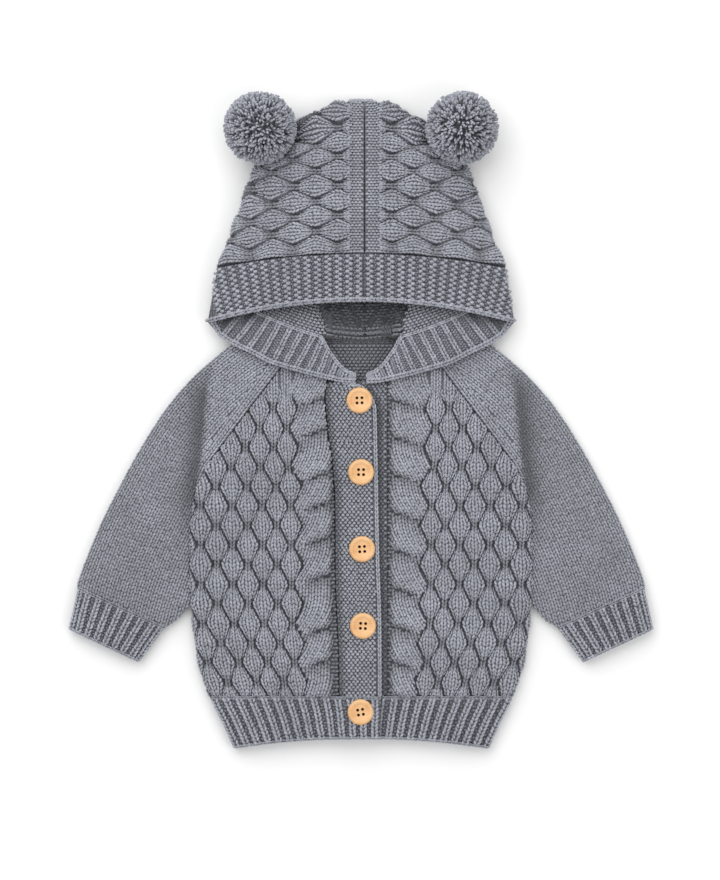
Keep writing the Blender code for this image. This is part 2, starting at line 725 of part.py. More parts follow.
def hood_point(side):
    def point(row, c, inside):
        place = hood_base(side, row, c, inside)
        if not inside and c <= 1:
            rise = hood_columns["top_z"](row) - hood_columns["side_z"](row)
            u = girth(c) * (hood_columns["side_x"](row) - side * CROWN_SEAM_X + 0.6 * rise)
            from_pompom = math.hypot(place.x - POMPOM_PLACE[0], place.y - POMPOM_PLACE[1])
            clear = ramp(from_pompom - POMPOM_RADIUS, 1, 1 + RELIEF_FADE)
            height = hood_relief(u, hood_columns["top_y"](row)) * ramp(row, len(HOOD) - 1, len(HOOD) - 1.7)
            at_side = lerp(1, SIDE_RELIEF, ramp(c, 0.75, 1))
            place = place + height * clear * at_side * hood_normal(side, row, c)
        return side * place.x, place.y, place.z

    return point


def band_base(row, c, inside):
    """Right-hand half of the hood band, row from 0, its free edge, to 1, its seam. c runs from 0 at
    the middle of the forehead to 1 at the side fold and then along the lapel to 2."""
    wall = HOOD_CLOTH if inside else 0.0
    edge_x = lerp(BAND_FREE.side_x, HOOD[0].side_x, row)
    edge_y = lerp(BAND_FREE.side_y, HOOD[0].side_y - SEAM_GAP, row)
    edge_z = lerp(BAND_FREE.side_z, HOOD[0].side_z, row)
    if c <= 1:
        out, up = arch(c)
        top_y = lerp(BAND_FREE.top_y, HOOD[0].top_y - SEAM_GAP, row)
        top_z = lerp(BAND_FREE.top_z, HOOD[0].top_z, row) - wall
        x = (edge_x - wall) * out
        return Vector((x, lerp(top_y, edge_y, out ** 2), lerp(edge_z, top_z, up)))
    at = (c - 1) * (len(LAPEL) - 1)
    seam_x = lapel_columns["seam_x"](at)
    seam_y = lapel_seam(seam_x) - SEAM_GAP if at <= 6 else lapel_columns["seam_y"](at) - SEAM_GAP
    place = Vector((lapel_columns["free_x"](at), lapel_columns["free_y"](at)))
    place = place.lerp(Vector((seam_x, seam_y)), row)
    level = max(1 - (edge_x - place.x) / HOOD_ROLL, 0.0)
    down = math.sqrt(1 - level * level)
    low = lapel_lift(place.x, place.y)
    if inside:
        low += wall_rise(lapel_lift, place.x, place.y)
        place.x -= wall * level
    return Vector((place.x, place.y, lerp(edge_z, low, down)))


def band_point(row, c, inside):
    """The whole hood band, c from -2 to 2, ribbed on the side that faces up."""
    place = band_base(row, abs(c), inside)
    height = RIB_HEIGHT * rib_ends(row)
    if not inside and abs(c) < 1:
        place.z += height * ribs(girth(abs(c)) * FOREHEAD_RIBS + 0.5) * ramp(abs(c), 1, 0.9)
    if inside and abs(c) > 1:
        place.z += height * ribs((abs(c) - 1) * LAPEL_RIBS) * ramp(abs(c), 1.1, 1.2)
    return math.copysign(place.x, c), place.y, place.z


def make_hood(yarn, collection):
    rows = even(0, 5, 15) + [5.5, 6, 6.5, 7, 7.5, 8]
    lining_rows = [0, 0.5, 1, 1.5, 2, 3, 4, 5, 6, 7, 8]
    lower = [1.33, 1.67, 2, 2.15, 2.3, 2.45, 2.6, 2.68, 2.76, 3]
    columns = [girth_stop(share) for share in even(0, 1, 20)] + lower
    lining = even(0, 1, 6) + lower
    for side, name in ((-1, "right"), (1, "left")):
        point = hood_point(side)
        cloth("hood_" + name, point, (rows, columns), (lining_rows, lining), yarn, collection)

    top = [girth_stop(share) for share in even(0, 1, 2 * FOREHEAD_RIBS)]
    lapel = even(1, 2, 2 * LAPEL_RIBS)
    plain_top = even(0, 1, 6)
    plain_lapel = [1, 1.03, 1.08, 1.2, 1.33, 1.5, 1.66, 1.77, 1.89, 2]
    outer_half = top + plain_lapel[1:]
    inner_half = plain_top + [1.03] + lapel[2:]
    outer = [-c for c in outer_half[:0:-1]] + outer_half
    inner = [-c for c in inner_half[:0:-1]] + inner_half
    across = [0, RIB_END, 1 - RIB_END, 1]
    cloth("hood_band", band_point, (across, outer), (across, inner), yarn, collection)


# ---------------------------------------------------------------- pompoms and buttons

def make_pompom(name, side, yarn, collection):
    """A ball of yarn ends: tapered locks stand on a round core."""
    bpy.ops.mesh.primitive_ico_sphere_add(subdivisions=2, radius=POMPOM_CORE * MM)
    ball = bpy.context.object
    mesh = ball.data.copy()
    bpy.data.objects.remove(ball)
    chance = random.Random(POMPOM_SEED)
    bm = bmesh.new()
    bm.from_mesh(mesh)
    for face in bm.faces[:]:
        middle = face.calc_center_median()
        bmesh.ops.inset_individual(bm, faces=[face], thickness=1.1 * MM)
        tip = bmesh.ops.extrude_discrete_faces(bm, faces=[face])["faces"][0]
        length = (POMPOM_RADIUS - chance.uniform(0.0, 1.2)) * MM
        move = middle.normalized() * length - middle
        for vert in tip.verts:
            vert.co += move
    bmesh.ops.triangulate(bm, faces=bm.faces[:])
    bm.to_mesh(mesh)
    bm.free()
    item = add_object(name, mesh, yarn, collection)
    item.location = Vector((side * POMPOM_PLACE[0], POMPOM_PLACE[1], POMPOM_Z)) * MM


def make_button_mesh(wood, cutters):
    """A turned wooden button with a raised rim, a dished middle and four holes."""
    profile = [(0, 1.9), (6, 2.1), (7.2, 3.3), (8.8, 3.5), (10, 2), (8.8, 0), (0, 0)]
    mesh = bpy.data.meshes.new("button")
    points = [(r * BUTTON_RADIUS / 10 * MM, 0, z * MM) for r, z in profile]
    mesh.from_pydata(points, [(i, i + 1) for i in range(len(points) - 1)], [])
    blank = add_object("button_blank", mesh, wood, cutters)
    turn = blank.modifiers.new("turn", "SCREW")
    turn.steps = turn.render_steps = BUTTON_STEPS
    turn.use_merge_vertices = True
    turn.merge_threshold = 0.00001
    for i in range(4):
        angle = math.radians(45 + 90 * i)
        bpy.ops.mesh.primitive_cylinder_add(vertices=6, radius=BUTTON_HOLE_RADIUS * MM, depth=12 * MM)
        hole = bpy.context.object
        for linked in hole.users_collection[:]:
            linked.objects.unlink(hole)
        cutters.objects.link(hole)
        hole.name = f"button_hole_{i + 1}"
        offset = BUTTON_HOLE_OFFSET * math.sqrt(2)
        hole.location = Vector((offset * math.cos(angle), offset * math.sin(angle), 0)) * MM
        hole.display_type = "WIRE"
        hole.hide_render = True
        cut = blank.modifiers.new(hole.name, "BOOLEAN")
        cut.operation = "DIFFERENCE"
        cut.object = hole
    blank.display_type = "WIRE"
    blank.hide_render = True
    bpy.context.view_layer.update()
    evaluated = blank.evaluated_get(bpy.context.evaluated_depsgraph_get())
    return bpy.data.meshes.new_from_object(evaluated)


def make_buttons(wood, collection, cutters):
    mesh = make_button_mesh(wood, cutters)
    mesh.shade_smooth()
    mesh.set_sharp_from_angle(angle=math.radians(40))
    for i, (x, y) in enumerate(BUTTON_PLACES):
        item = add_object(f"button_{i + 1}", mesh, wood, collection)
        item.location = Vector((x, y, BUTTON_Z)) * MM


def main():
    for item in list(bpy.data.objects):
        bpy.data.objects.remove(item)
    collection = bpy.data.collections.new("baby_cardigan")
    cutters = bpy.data.collections.new("cutters")
    for group in (collection, cutters):
        bpy.context.scene.collection.children.link(group)
    yarn = make_material("yarn", YARN, 0.9)
    wood = make_material("wood", WOOD, 0.45)
    make_body(yarn, collection)
    make_hems(yarn, collection)
    make_bands(yarn, collection)
    make_sleeves(yarn, collection)
    make_hood(yarn, collection)
    for side, name in ((-1, "pompom_right"), (1, "pompom_left")):
        make_pompom(name, side, yarn, collection)
    make_buttons(wood, collection, cutters)


main()
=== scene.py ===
"""Looks of the baby cardigan: every stitch, rib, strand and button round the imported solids.

Lengths are in millimetres until a mesh is made. Each piece of knitting is a thin closed shell on its
solid's form, made by a function of (row, column, inside), and carries its stitches as small spindles
of yarn that lie on a Fabric, which is one face of the shell read by its own lengths.
"""

import math
from collections import namedtuple
from functools import partial

import bmesh
import bpy
import numpy as np
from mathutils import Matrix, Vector


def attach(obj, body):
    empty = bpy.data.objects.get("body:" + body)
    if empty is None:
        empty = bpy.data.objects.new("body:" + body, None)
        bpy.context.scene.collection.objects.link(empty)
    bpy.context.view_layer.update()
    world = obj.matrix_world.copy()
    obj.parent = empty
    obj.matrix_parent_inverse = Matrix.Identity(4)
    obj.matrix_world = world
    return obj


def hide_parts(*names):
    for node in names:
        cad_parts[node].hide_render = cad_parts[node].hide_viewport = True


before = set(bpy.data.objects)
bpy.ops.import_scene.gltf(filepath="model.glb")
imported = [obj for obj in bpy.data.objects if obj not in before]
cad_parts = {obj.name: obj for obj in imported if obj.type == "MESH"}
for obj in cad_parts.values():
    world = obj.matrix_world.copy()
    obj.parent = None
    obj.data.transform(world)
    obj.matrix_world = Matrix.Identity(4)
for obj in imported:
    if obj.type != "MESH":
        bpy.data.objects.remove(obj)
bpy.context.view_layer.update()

MM = 0.001
HALF_PI = math.pi / 2
UP = (0.0, 0.0, 1.0)

# ---------------------------------------------------------------- sizes shared with the solids

BODY_CLOTH = 4.0
SLEEVE_CLOTH = 3.5
HOOD_CLOTH = 3.5
BAND_CLOTH = 3.5
SEAM_GAP = 0.3
BACK_SIDE_Z = 4.4
FRONT_SIDE_Z = BACK_SIDE_Z + SEAM_GAP
FRONT_TOP_Z = 11.5
RAGLAN_EDGE_Z = 9.5
SLEEVE_TOP_Z = 10.0
UNDER_BAND_Z = 7.5
TOP_BAND_Z = 11.3
LAPEL_Z = 11.9
HEM_TOP_Y = -213.0
HEM_CENTRE_Y = -244.0
HEM_SIDE_DROP = 7.8
ARMPIT_Y = -34.0
NECK_Y = 62.0
NECK_REACH = 36.0
FRONT_END_Y = 61.2
RAGLAN_TOP_X = 44.5
RAGLAN_SLOPE = 0.755
SLEEVE_GAP = 0.7
BACK_ROLL = 8.0
FRONT_ROLL = 26.0
RAGLAN_ROLL = 6.0
SIDE_FOLD_Y = (-31.0, -69.0)
BAND_TOP_Y = 29.4
UNDER_BAND_X = -8.5
BAND_RAMP = 7.0
HEM_RAMP = (-24.0, -14.0)
UNDER_HEM_DROP = 0.5
UNDER_HEM_RAMP = (24.0, 20.0)
SLEEVE_ROLL = 12.0
CROWN_SEAM_X = 2.7
HOOD_ROLL = 10.0
HOOD_ARCH = 2.5
SIDE_RELIEF = 0.45
COLLAR_RAMP = 10.0
LAPEL_LIFT_Y = (72.0, 108.0)
LAPEL_DROOP_X = (88.0, 110.0)
LAPEL_DROOP = 0.35

BodyRow = namedtuple("BodyRow", "y half_width")
BODY_SIDE = [
    BodyRow(-252.0, 98.0),
    BodyRow(-231.0, 107.0),
    BodyRow(-212.0, 116.5),
    BodyRow(-184.0, 125.0),
    BodyRow(-159.0, 128.5),
    BodyRow(-121.0, 131.0),
    BodyRow(-87.0, 130.5),
    BodyRow(-68.0, 129.0),
    BodyRow(-53.0, 125.5),
    BodyRow(ARMPIT_Y, RAGLAN_TOP_X + RAGLAN_SLOPE * (NECK_Y - ARMPIT_Y)),
]
FrontRow = namedtuple("FrontRow", "y right_front_x left_front_x")
FRONT_BORDER = [
    FrontRow(-213.0, 17.3, 20.6),
    FrontRow(-195.0, 17.3, 20.6),
    FrontRow(-121.0, 20.0, 20.6),
    FrontRow(-57.0, 20.6, 20.6),
    FrontRow(16.5, 28.0, 20.6),
    FrontRow(34.0, 26.0, 20.8),
    FrontRow(53.0, 26.0, 25.0),
    FrontRow(61.5, 30.0, 30.0),
]
BandRow = namedtuple("BandRow", "y free_x")
TOP_BAND_EDGE = [
    BandRow(-244.0, 14.5),
    BandRow(-224.0, 15.4),
    BandRow(-157.0, 15.1),
    BandRow(-99.0, 13.4),
    BandRow(-36.0, 12.3),
    BandRow(7.7, 11.4),
    BandRow(19.0, 7.6),
    BandRow(26.0, 0.8),
    BandRow(29.4, -12.0),
]
SleeveRow = namedtuple("SleeveRow", "outer_x outer_y inner_x inner_y")
SLEEVE = [
    SleeveRow(47.0, 71.0, 45.2, 61.6),
    SleeveRow(85.5, 64.0, 60.8, 40.0),
    SleeveRow(117.8, 42.0, 79.6, 15.4),
    SleeveRow(144.4, 14.4, 98.0, -8.0),
    SleeveRow(169.6, -23.6, 117.8, -34.0),
    SleeveRow(183.6, -49.0, 127.0, -60.0),
    SleeveRow(198.4, -78.5, 130.5, -92.0),
    SleeveRow(210.0, -106.0, 131.0, -121.0),
    SleeveRow(215.0, -119.0, 131.6, -140.0),
    SleeveRow(216.6, -124.0, 139.0, -150.5),
    SleeveRow(217.5, -129.0, 151.0, -159.5),
]
CUFF_END = SleeveRow(224.3, -160.0, 170.2, -185.5)
BODY_SLEEVE_ROWS = 8
HoodRow = namedtuple("HoodRow", "side_x side_y side_z top_y top_z under_y under_z")
HOOD = [
    HoodRow(110.3, 117.0, 11.0, 127.4, 27.0, 62.1, 0.0),
    HoodRow(99.5, 140.0, 9.5, 147.8, 27.0, 92.4, 0.0),
    HoodRow(92.8, 160.0, 8.5, 167.0, 26.0, 121.7, 0.0),
    HoodRow(83.5, 184.8, 8.5, 186.3, 25.0, 152.5, 0.0),
    HoodRow(72.0, 195.0, 8.2, 202.5, 23.0, 177.0, 0.0),
    HoodRow(54.0, 205.0, 8.0, 217.0, 21.0, 200.0, 0.0),
    HoodRow(45.5, 228.0, 7.6, 229.5, 18.0, 219.5, 0.0),
    HoodRow(24.0, 240.2, 7.0, 238.7, 13.5, 232.9, 0.0),
    HoodRow(9.5, 244.6, 6.4, 243.8, 10.8, 241.0, 1.6),
]
BAND_FREE = HoodRow(117.7, 75.2, 11.8, 91.6, 26.5, 0.0, 0.0)
LapelRow = namedtuple("LapelRow", "free_x free_y seam_x seam_y")
LAPEL = [
    LapelRow(117.7, 75.2, 110.3, 116.6),
    LapelRow(111.0, 67.8, 97.0, 98.0),
    LapelRow(98.6, 59.3, 84.0, 86.0),
    LapelRow(82.8, 51.6, 71.0, 79.4),
    LapelRow(67.8, 43.9, 58.0, 74.0),
    LapelRow(54.7, 40.0, 44.5, 69.0),
    LapelRow(40.8, 36.2, 31.5, 65.2),
    LapelRow(27.0, 33.1, 24.5, 53.5),
    LapelRow(13.1, 30.6, 13.5, 39.5),
    LapelRow(4.0, 30.3, 4.0, 34.5),
]
RollRow = namedtuple("RollRow", "y x")
COLLAR_ROLL = [RollRow(62.0, 30.0), RollRow(83.0, 38.8), RollRow(92.0, 43.0), RollRow(120.0, 50.0)]
BUTTON_PLACES = [(-1.2, 15.0), (0.0, -40.0), (0.8, -99.0), (1.5, -157.9), (-0.4, -224.0)]
BUTTON_TURNS = [0.03, 0.0, 0.06, -0.05, 0.17]
BUTTON_RADIUS = 10.0
BUTTON_Z = 15.6
POMPOM_PLACE = (77.2, 223.1)
POMPOM_RADIUS = 28.4
POMPOM_Z = 29.8
POMPOM_SWELL = 5.0

# ---------------------------------------------------------------- sizes of the knitting

WALE = 4.6
SLEEVE_WALE = 4.4
COURSE = 2.95
RIB_HEIGHT = 2.2
RIB_WALE = 5.3
HEM_RIBS = {-1: 13.7, 1: 12.7}
CUFF_RIBS = 8
FOREHEAD_RIBS = 15
FOREHEAD_SEAM = 0.34
FOREHEAD_LEAN = 0.16
FOREHEAD_COURSE = 3.9
LAPEL_RIBS = 14
LAPEL_LEAN = 0.55
LAPEL_PLAIN = 1.93
RIB_BUMP_PITCH = 2.2
GARTER_PITCH = 2.1
GARTER_GAUGE = 3.2
CABLE_PITCH = 4.75
CABLE_WALE = 4.7
RAGLAN_WALES = 2
RAGLAN_PITCH = 4.2
RAGLAN_WALE = 4.3
CUFF_WALE = 4.9
LAPEL_WALE = 4.2
LAPEL_COURSE = 2.8

# Purl bumps: how wide they are, how far they bow, half their thickness, lift off the cloth and painted shade
Bump = namedtuple("Bump", "width bow radius lift dark")
NECK_BUMP = Bump(2.0, -1.7, 1.1, 0.5, 0.3)
STRIP_BUMP = Bump(2.6, 1.2, 1.0, 0.2, 0.0)
GARTER_BUMP = Bump(0.5 * GARTER_GAUGE, 1.0, 1.32, 0.55, 0.0)
HEM_BUMP = Bump(1.4, 0.8, 0.6, -0.1, 0.12)
CUFF_BUMP = Bump(1.2, 0.8, 0.6, -0.1, 0.05)
CROWN_BUMP = Bump(2.7, 1.2, 1.0, 0.3, 0.0)
MOUTH_BUMP = Bump(2.7, -1.5, 1.05, 0.7, 0.4)
FLAT_CABLE_BUMP = Bump(2.9, -1.4, 0.85, 0.2, 0.85)
RAISED_CABLE_BUMP = Bump(3.1, -1.6, 1.0, 1.3, 0.65)
FOLD_BUMP = Bump(2.6, 1.4, 1.05, 0.4, 0.05)
FOREHEAD_BEAD = Bump(2.6, -1.5, 1.5, 0.4, 0.0)
FOREHEAD_DOT = Bump(1.3, 0.9, 0.85, 0.2, 0.15)
FOREHEAD_SEAM_BUMP = Bump(1.9, 1.3, 1.0, 0.6, 0.1)
LAPEL_BUMP = Bump(1.6, 0.8, 0.75, -0.1, 0.15)
LAPEL_END_BUMP = Bump(1.3, 1.0, 0.8, 0.3, 0.12)

# Chains of V stitches along seams and edges: width, length of a stitch, lift off the cloth, thickness
# against a plain stitch's, and painted shade
Edge = namedtuple("Edge", "width course lift fat dark")
NECK_SEAM = Edge(2.4, 3.1, 0.0, 1.2, 0.8)
RIB_SEAM = Edge(3.0, 3.0, 0.3, 1.0, 0.2)
RIB_EDGE = Edge(3.2, 3.0, 0.2, 1.0, 0.0)
BAND_EDGE = Edge(3.0, 3.4, 0.6, 1.15, 0.0)
CROWN_END = Edge(5.2, 3.0, 0.2, 1.2, 0.0)
FOREHEAD_EDGE = Edge(4.4, 3.1, 0.7, 1.2, 0.0)
LAPEL_EDGE = Edge(4.4, 3.1, 0.6, 1.15, 0.0)
LAPEL_SEAM = Edge(3.0, 3.1, 0.6, 1.15, 0.0)

# Chains of bubbles up a front: place of the chain nearest the cable and distance between chains
ChainRow = namedtuple("ChainRow", "y first_x pitch")
CHAINS = [
    ChainRow(-213.0, 47.8, 9.5),
    ChainRow(-185.0, 50.8, 10.1),
    ChainRow(-141.0, 53.1, 10.6),
    ChainRow(-51.0, 54.3, 10.6),
    ChainRow(-28.0, 56.6, 10.2),
    ChainRow(27.0, 57.5, 10.0),
]
CHAIN_COUNT = 9
CHAIN_SPREAD = 0.16
ZIGZAG = 0.27
SOFT_GAP = 0.35
CREASE_GAP = 0.95
NARROW = 4.0
LEAST_WALE = 4.2
PLAIN_WALES = 2.3
BUBBLE_LENGTH = 30.0
BUBBLE_HEIGHT = 4.2
BUBBLE_Y = -51.1
PLAIN_Y = (27.0, 12.0)

# Cable beside a band: lobes that tile the strip between creases. A crease is given by its height
# where it crosses CREASE_X; the wales of a lobe shift inwards by this much on their way up.
CABLE_HEIGHT = 4.8
CREASE_SLOPE = -0.3
CREASE_X = 31.0
CREASE_END = 42.0
CABLE_EDGE = 22.6
RIGHT_CREASES = [-222.0, -186.3, -161.3, -120.9, -92.4, -65.5, -42.7, -8.5, 16.0, 40.0]
LEFT_CREASES = [-214.0, -188.0, -160.5, -131.0, -102.0, -73.0, -44.0, -15.0, 13.0, 40.0]
FlowRow = namedtuple("FlowRow", "rise x")
FLOW = [
    FlowRow(-12.0, 42.5),
    FlowRow(-4.0, 41.0),
    FlowRow(2.0, 38.0),
    FlowRow(9.0, 33.5),
    FlowRow(17.0, 30.0),
    FlowRow(25.0, 28.5),
    FlowRow(34.0, 28.3),
]

HOOD_BUBBLE_HALF = 11.35
HOOD_BUBBLE_LENGTH = 33.6
FIRST_HOOD_BUBBLE = (20.8, 190.5)
MOSS_STRIP = 11.5
BACK_CABLE = 10.0

# How uneven the stitches are: a stitch's and a leg's place along a wale in courses, a leg's across it,
# lift, thickness in shares, the same at edges, and garter bumps' places across and along
UNEVEN_COURSE = 0.05
UNEVEN_LEG = 0.03
UNEVEN_ACROSS = 0.08
UNEVEN_LIFT = 0.07
UNEVEN_RADIUS = 0.07
UNEVEN_EDGE = 0.05
UNEVEN_GAUGE = 0.12
UNEVEN_ROW = 0.15

# Samples along a line of the cloth, and the distance of those that a fabric keeps
LINE_SAMPLES = 240
SAMPLE_PITCH = 0.7


def lerp(a, b, t):
    return a + (b - a) * t


def smooth(t):
    t = np.clip(t, 0.0, 1.0)
    return t * t * (3.0 - 2.0 * t)


def ramp(x, start, end):
    """0 at start and before it, 1 at end and past it, smooth between."""
    return smooth((x - start) / (end - start))


def curve(stops, values):
    """A smooth function through values at rising stops, with no overshoot."""
    stops = np.array(stops, float)
    values = np.array(values, float)
    steps = np.diff(stops)
    slopes = np.diff(values) / steps
    before, after = slopes[:-1], slopes[1:]
    level = before * after <= 0
    total = np.where(level, 1.0, before + after)
    inner = np.where(level, 0.0, 2 * before * after / total)
    tangents = np.concatenate([slopes[:1], inner, slopes[-1:]])

    def value(x):
        x = np.clip(x, stops[0], stops[-1])
        i = np.clip(np.searchsorted(stops, x, side="left") - 1, 0, len(steps) - 1)
        t = (x - stops[i]) / steps[i]
        rise = tangents[i] * steps[i] * t * (1 - t) ** 2 - tangents[i + 1] * steps[i] * t * t * (1 - t)
        return lerp(values[i], values[i + 1], t * t * (3 - 2 * t)) + rise

    return value


def column(table, name, by=None):
    """The named column of a table as a smooth function of its row number, or of the column by."""
    stops = [getattr(row, by) for row in table] if by else range(len(table))
    return curve(stops, [getattr(row, name) for row in table])


def unit(vectors):
    length = np.linalg.norm(vectors, axis=-1, keepdims=True)
    return vectors / np.maximum(length, 1e-9)


def even(first, last, count):
    return np.linspace(first, last, count + 1)


def lengths_along(points, least=0.0):
    """Distance along each line of points, whose order is the last axis but one."""
    steps = np.maximum(np.linalg.norm(np.diff(points, axis=-2), axis=-1), least)
    return np.concatenate([np.zeros(steps.shape[:-1] + (1,)), np.cumsum(steps, axis=-1)], axis=-1)


def lengths_across(points, columns, ref):
    """Distance along each row of a grid from the column nearest ref, and the number of that column."""
    at = int(np.argmin(np.abs(np.array(columns) - ref)))
    across = lengths_along(points)
    return across - across[:, at:at + 1], at


# ---------------------------------------------------------------- materials

class Nodes:
    """Short calls that build a node tree."""

    def __init__(self, name):
        self.material = bpy.data.materials.new(name)
        self.material.use_nodes = True
        self.tree = self.material.node_tree
        self.shader = self.tree.nodes["Principled BSDF"]

    def add(self, kind, **values):
        node = self.tree.nodes.new(kind)
        for name, value in values.items():
            setattr(node, name, value)
        return node

    def link(self, source, target):
        self.tree.links.new(source, target)

    def math(self, operation, *inputs):
        node = self.add("ShaderNodeMath", operation=operation)
        for socket, value in zip(node.inputs, inputs):
            if isinstance(value, (int, float)):
                socket.default_value = value
            else:
                self.link(value, socket)
        return node.outputs[0]

    def scaled(self, vector, scale):
        node = self.add("ShaderNodeMapping")
        node.inputs["Scale"].default_value = scale
        self.link(vector, node.inputs["Vector"])
        return node.outputs[0]

    def noise(self, vector, scale, detail=2.0, roughness=0.5):
        node = self.add("ShaderNodeTexNoise")
        node.inputs["Scale"].default_value = scale
        node.inputs["Detail"].default_value = detail
        node.inputs["Roughness"].default_value = roughness
        self.link(vector, node.inputs["Vector"])
        return node.outputs["Fac"]

    def ramp(self, factor, stops):
        node = self.add("ShaderNodeValToRGB")
        elements = node.color_ramp.elements
        while len(elements) < len(stops):
            elements.new(0.5)
        for element, (position, color) in zip(elements, stops):
            element.position = position
            element.color = (*color, 1.0)
        self.link(factor, node.inputs["Fac"])
        return node.outputs["Color"]

    def attribute(self, name):
        return self.add("ShaderNodeAttribute", attribute_name=name)

    def shaded(self, color, amount):
        """The color, mixed by an amount from 0 to 1 toward the painted shade colour between the stitches."""
        node = self.add("ShaderNodeMix", data_type="RGBA")
        self.link(amount, node.inputs[0])
        self.link(color, node.inputs[6])
        node.inputs[7].default_value = (*PAINTED_SHADE_COLOR, 1.0)
        return node.outputs[2]

    def object_place(self):
        return self.add("ShaderNodeTexCoord").outputs["Object"]

    def total(self, first, *others):
        """Weighted sum of pairs of a value and its weight."""
        result = self.math("MULTIPLY", *first)
        for pair in others:
            result = self.math("ADD", result, self.math("MULTIPLY", *pair))
        return result

    def surface(self, color, roughness, specular=None):
        self.link(color, self.shader.inputs["Base Color"])
        self.shader.inputs["Roughness"].default_value = roughness
        if specular is not None:
            self.shader.inputs["Specular IOR Level"].default_value = specular

    def bump(self, height, strength, distance):
        node = self.add("ShaderNodeBump")
        node.inputs["Strength"].default_value = strength
        node.inputs["Distance"].default_value = distance
        self.link(height, node.inputs["Height"])
        self.link(node.outputs["Normal"], self.shader.inputs["Normal"])


YARN_DARK = (0.195, 0.202, 0.228)
YARN_LIGHT = (0.535, 0.553, 0.625)
# Painted shade: the near-black colour that strands and ground are mixed toward deep in the knitting
PAINTED_SHADE_COLOR = (0.025, 0.026, 0.031)
# The ground under the stitches is the same yarn, painted darker as the shade deep between them
SHADED_GROUND_DARK = (0.095, 0.098, 0.112)
SHADED_GROUND_LIGHT = (0.235, 0.243, 0.275)
WOOD_STOPS = [(0.3, (0.66, 0.35, 0.145)), (0.5, (0.78, 0.455, 0.21)), (0.7, (0.86, 0.55, 0.29))]
# Painted shadow inside the button holes
HOLE_SHADOW_COLOR = (0.012, 0.009, 0.007, 1.0)
FLECKS = 420.0


def yarn_material(name, dark, light):
    """Melange yarn: light and dark fibres that run along each strand, in its own coordinates. The
    attribute shade is painted shade: how far a strand deep in the knitting is mixed toward the shade colour."""
    n = Nodes(name)
    place = n.object_place()
    fibre = n.noise(n.scaled(n.attribute("yarn").outputs["Vector"], (0.45, 2.6, 2.6)), 1.0, 3.0, 0.65)
    fleck = n.noise(place, FLECKS, 2.0, 0.6)
    broad = n.noise(place, 38.0, 2.0, 0.5)
    middle = tuple(0.5 * (a + b) for a, b in zip(dark, light))
    color = n.ramp(n.total((fibre, 0.55), (fleck, 0.3), (broad, 0.15)),
                   [(0.36, dark), (0.5, middle), (0.63, light)])
    n.surface(n.shaded(color, n.attribute("shade").outputs["Fac"]), 0.9, 0.2)
    n.shader.inputs["Sheen Weight"].default_value = 0.25
    n.shader.inputs["Sheen Roughness"].default_value = 0.5
    n.bump(fibre, 0.6, 0.00035)
    return n.material


def ground_material(name, dark, light):
    """The ground under the stitches, and plain faces: knitted rows as bump. The attribute knit holds
    the place across the wales, the place along them and how far the ground is painted into shade."""
    n = Nodes(name)
    parts = n.add("ShaderNodeSeparateXYZ")
    n.link(n.attribute("knit").outputs["Vector"], parts.inputs[0])
    across = n.math("FRACT", n.math("DIVIDE", parts.outputs["X"], WALE))
    half = n.math("ABSOLUTE", n.math("SUBTRACT", across, 0.5))
    row = n.math("SUBTRACT", n.math("DIVIDE", parts.outputs["Y"], COURSE), half)
    leg = n.math("SINE", n.math("MULTIPLY", half, 2 * math.pi))
    head = n.math("ABSOLUTE", n.math("SINE", n.math("MULTIPLY", row, math.pi)))
    height = n.math("MULTIPLY", leg, head)
    fleck = n.noise(n.object_place(), FLECKS, 2.0, 0.6)
    color = n.ramp(n.total((height, 0.35), (fleck, 0.65)), [(0.3, dark), (0.75, light)])
    n.surface(n.shaded(color, parts.outputs["Z"]), 0.95, 0.1)
    n.bump(height, 0.9, 0.0009)
    return n.material


def wood_material(name):
    n = Nodes(name)
    place = n.object_place()
    grain = n.noise(n.scaled(place, (60.0, 900.0, 60.0)), 1.0, 3.0, 0.6)
    cloud = n.noise(place, 130.0, 1.0, 0.5)
    n.surface(n.ramp(n.total((grain, 0.6), (cloud, 0.4)), WOOD_STOPS), 0.42)
    n.bump(grain, 0.15, 0.0001)
    return n.material


def hole_material(name):
    n = Nodes(name)
    n.shader.inputs["Base Color"].default_value = HOLE_SHADOW_COLOR
    n.shader.inputs["Roughness"].default_value = 0.9
    return n.material


yarn = yarn_material("yarn_stitches", YARN_DARK, YARN_LIGHT)
ground = ground_material("yarn_ground", SHADED_GROUND_DARK, SHADED_GROUND_LIGHT)
plain_knit = ground_material("yarn_plain", YARN_DARK, YARN_LIGHT)
wood = wood_material("wood_button")
hole_shadow = hole_material("wood_hole_shadow")


# ---------------------------------------------------------------- meshes

def linked(name, data):
    """A new object with the data, in the scene."""
    item = bpy.data.objects.new(name, data)
    bpy.context.scene.collection.objects.link(item)
    return item


def add_object(name, mesh, materials):
    for material in materials:
        mesh.materials.append(material)
    item = linked(name, mesh)
    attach(item, "root")
    return item


def border_faces(first, first_stops, second, second_stops):
    """Triangles between two borders that run side by side."""
    faces = []
    i = j = 0
    while i < len(first) - 1 or j < len(second) - 1:
        next_first = first_stops[i + 1] if i < len(first) - 1 else math.inf
        next_second = second_stops[j + 1] if j < len(second) - 1 else math.inf
        if next_first <= next_second:
            faces.append((first[i], first[i + 1], second[j]))
            i += 1
        else:
            faces.append((first[i], second[j + 1], second[j]))
            j += 1
    return faces


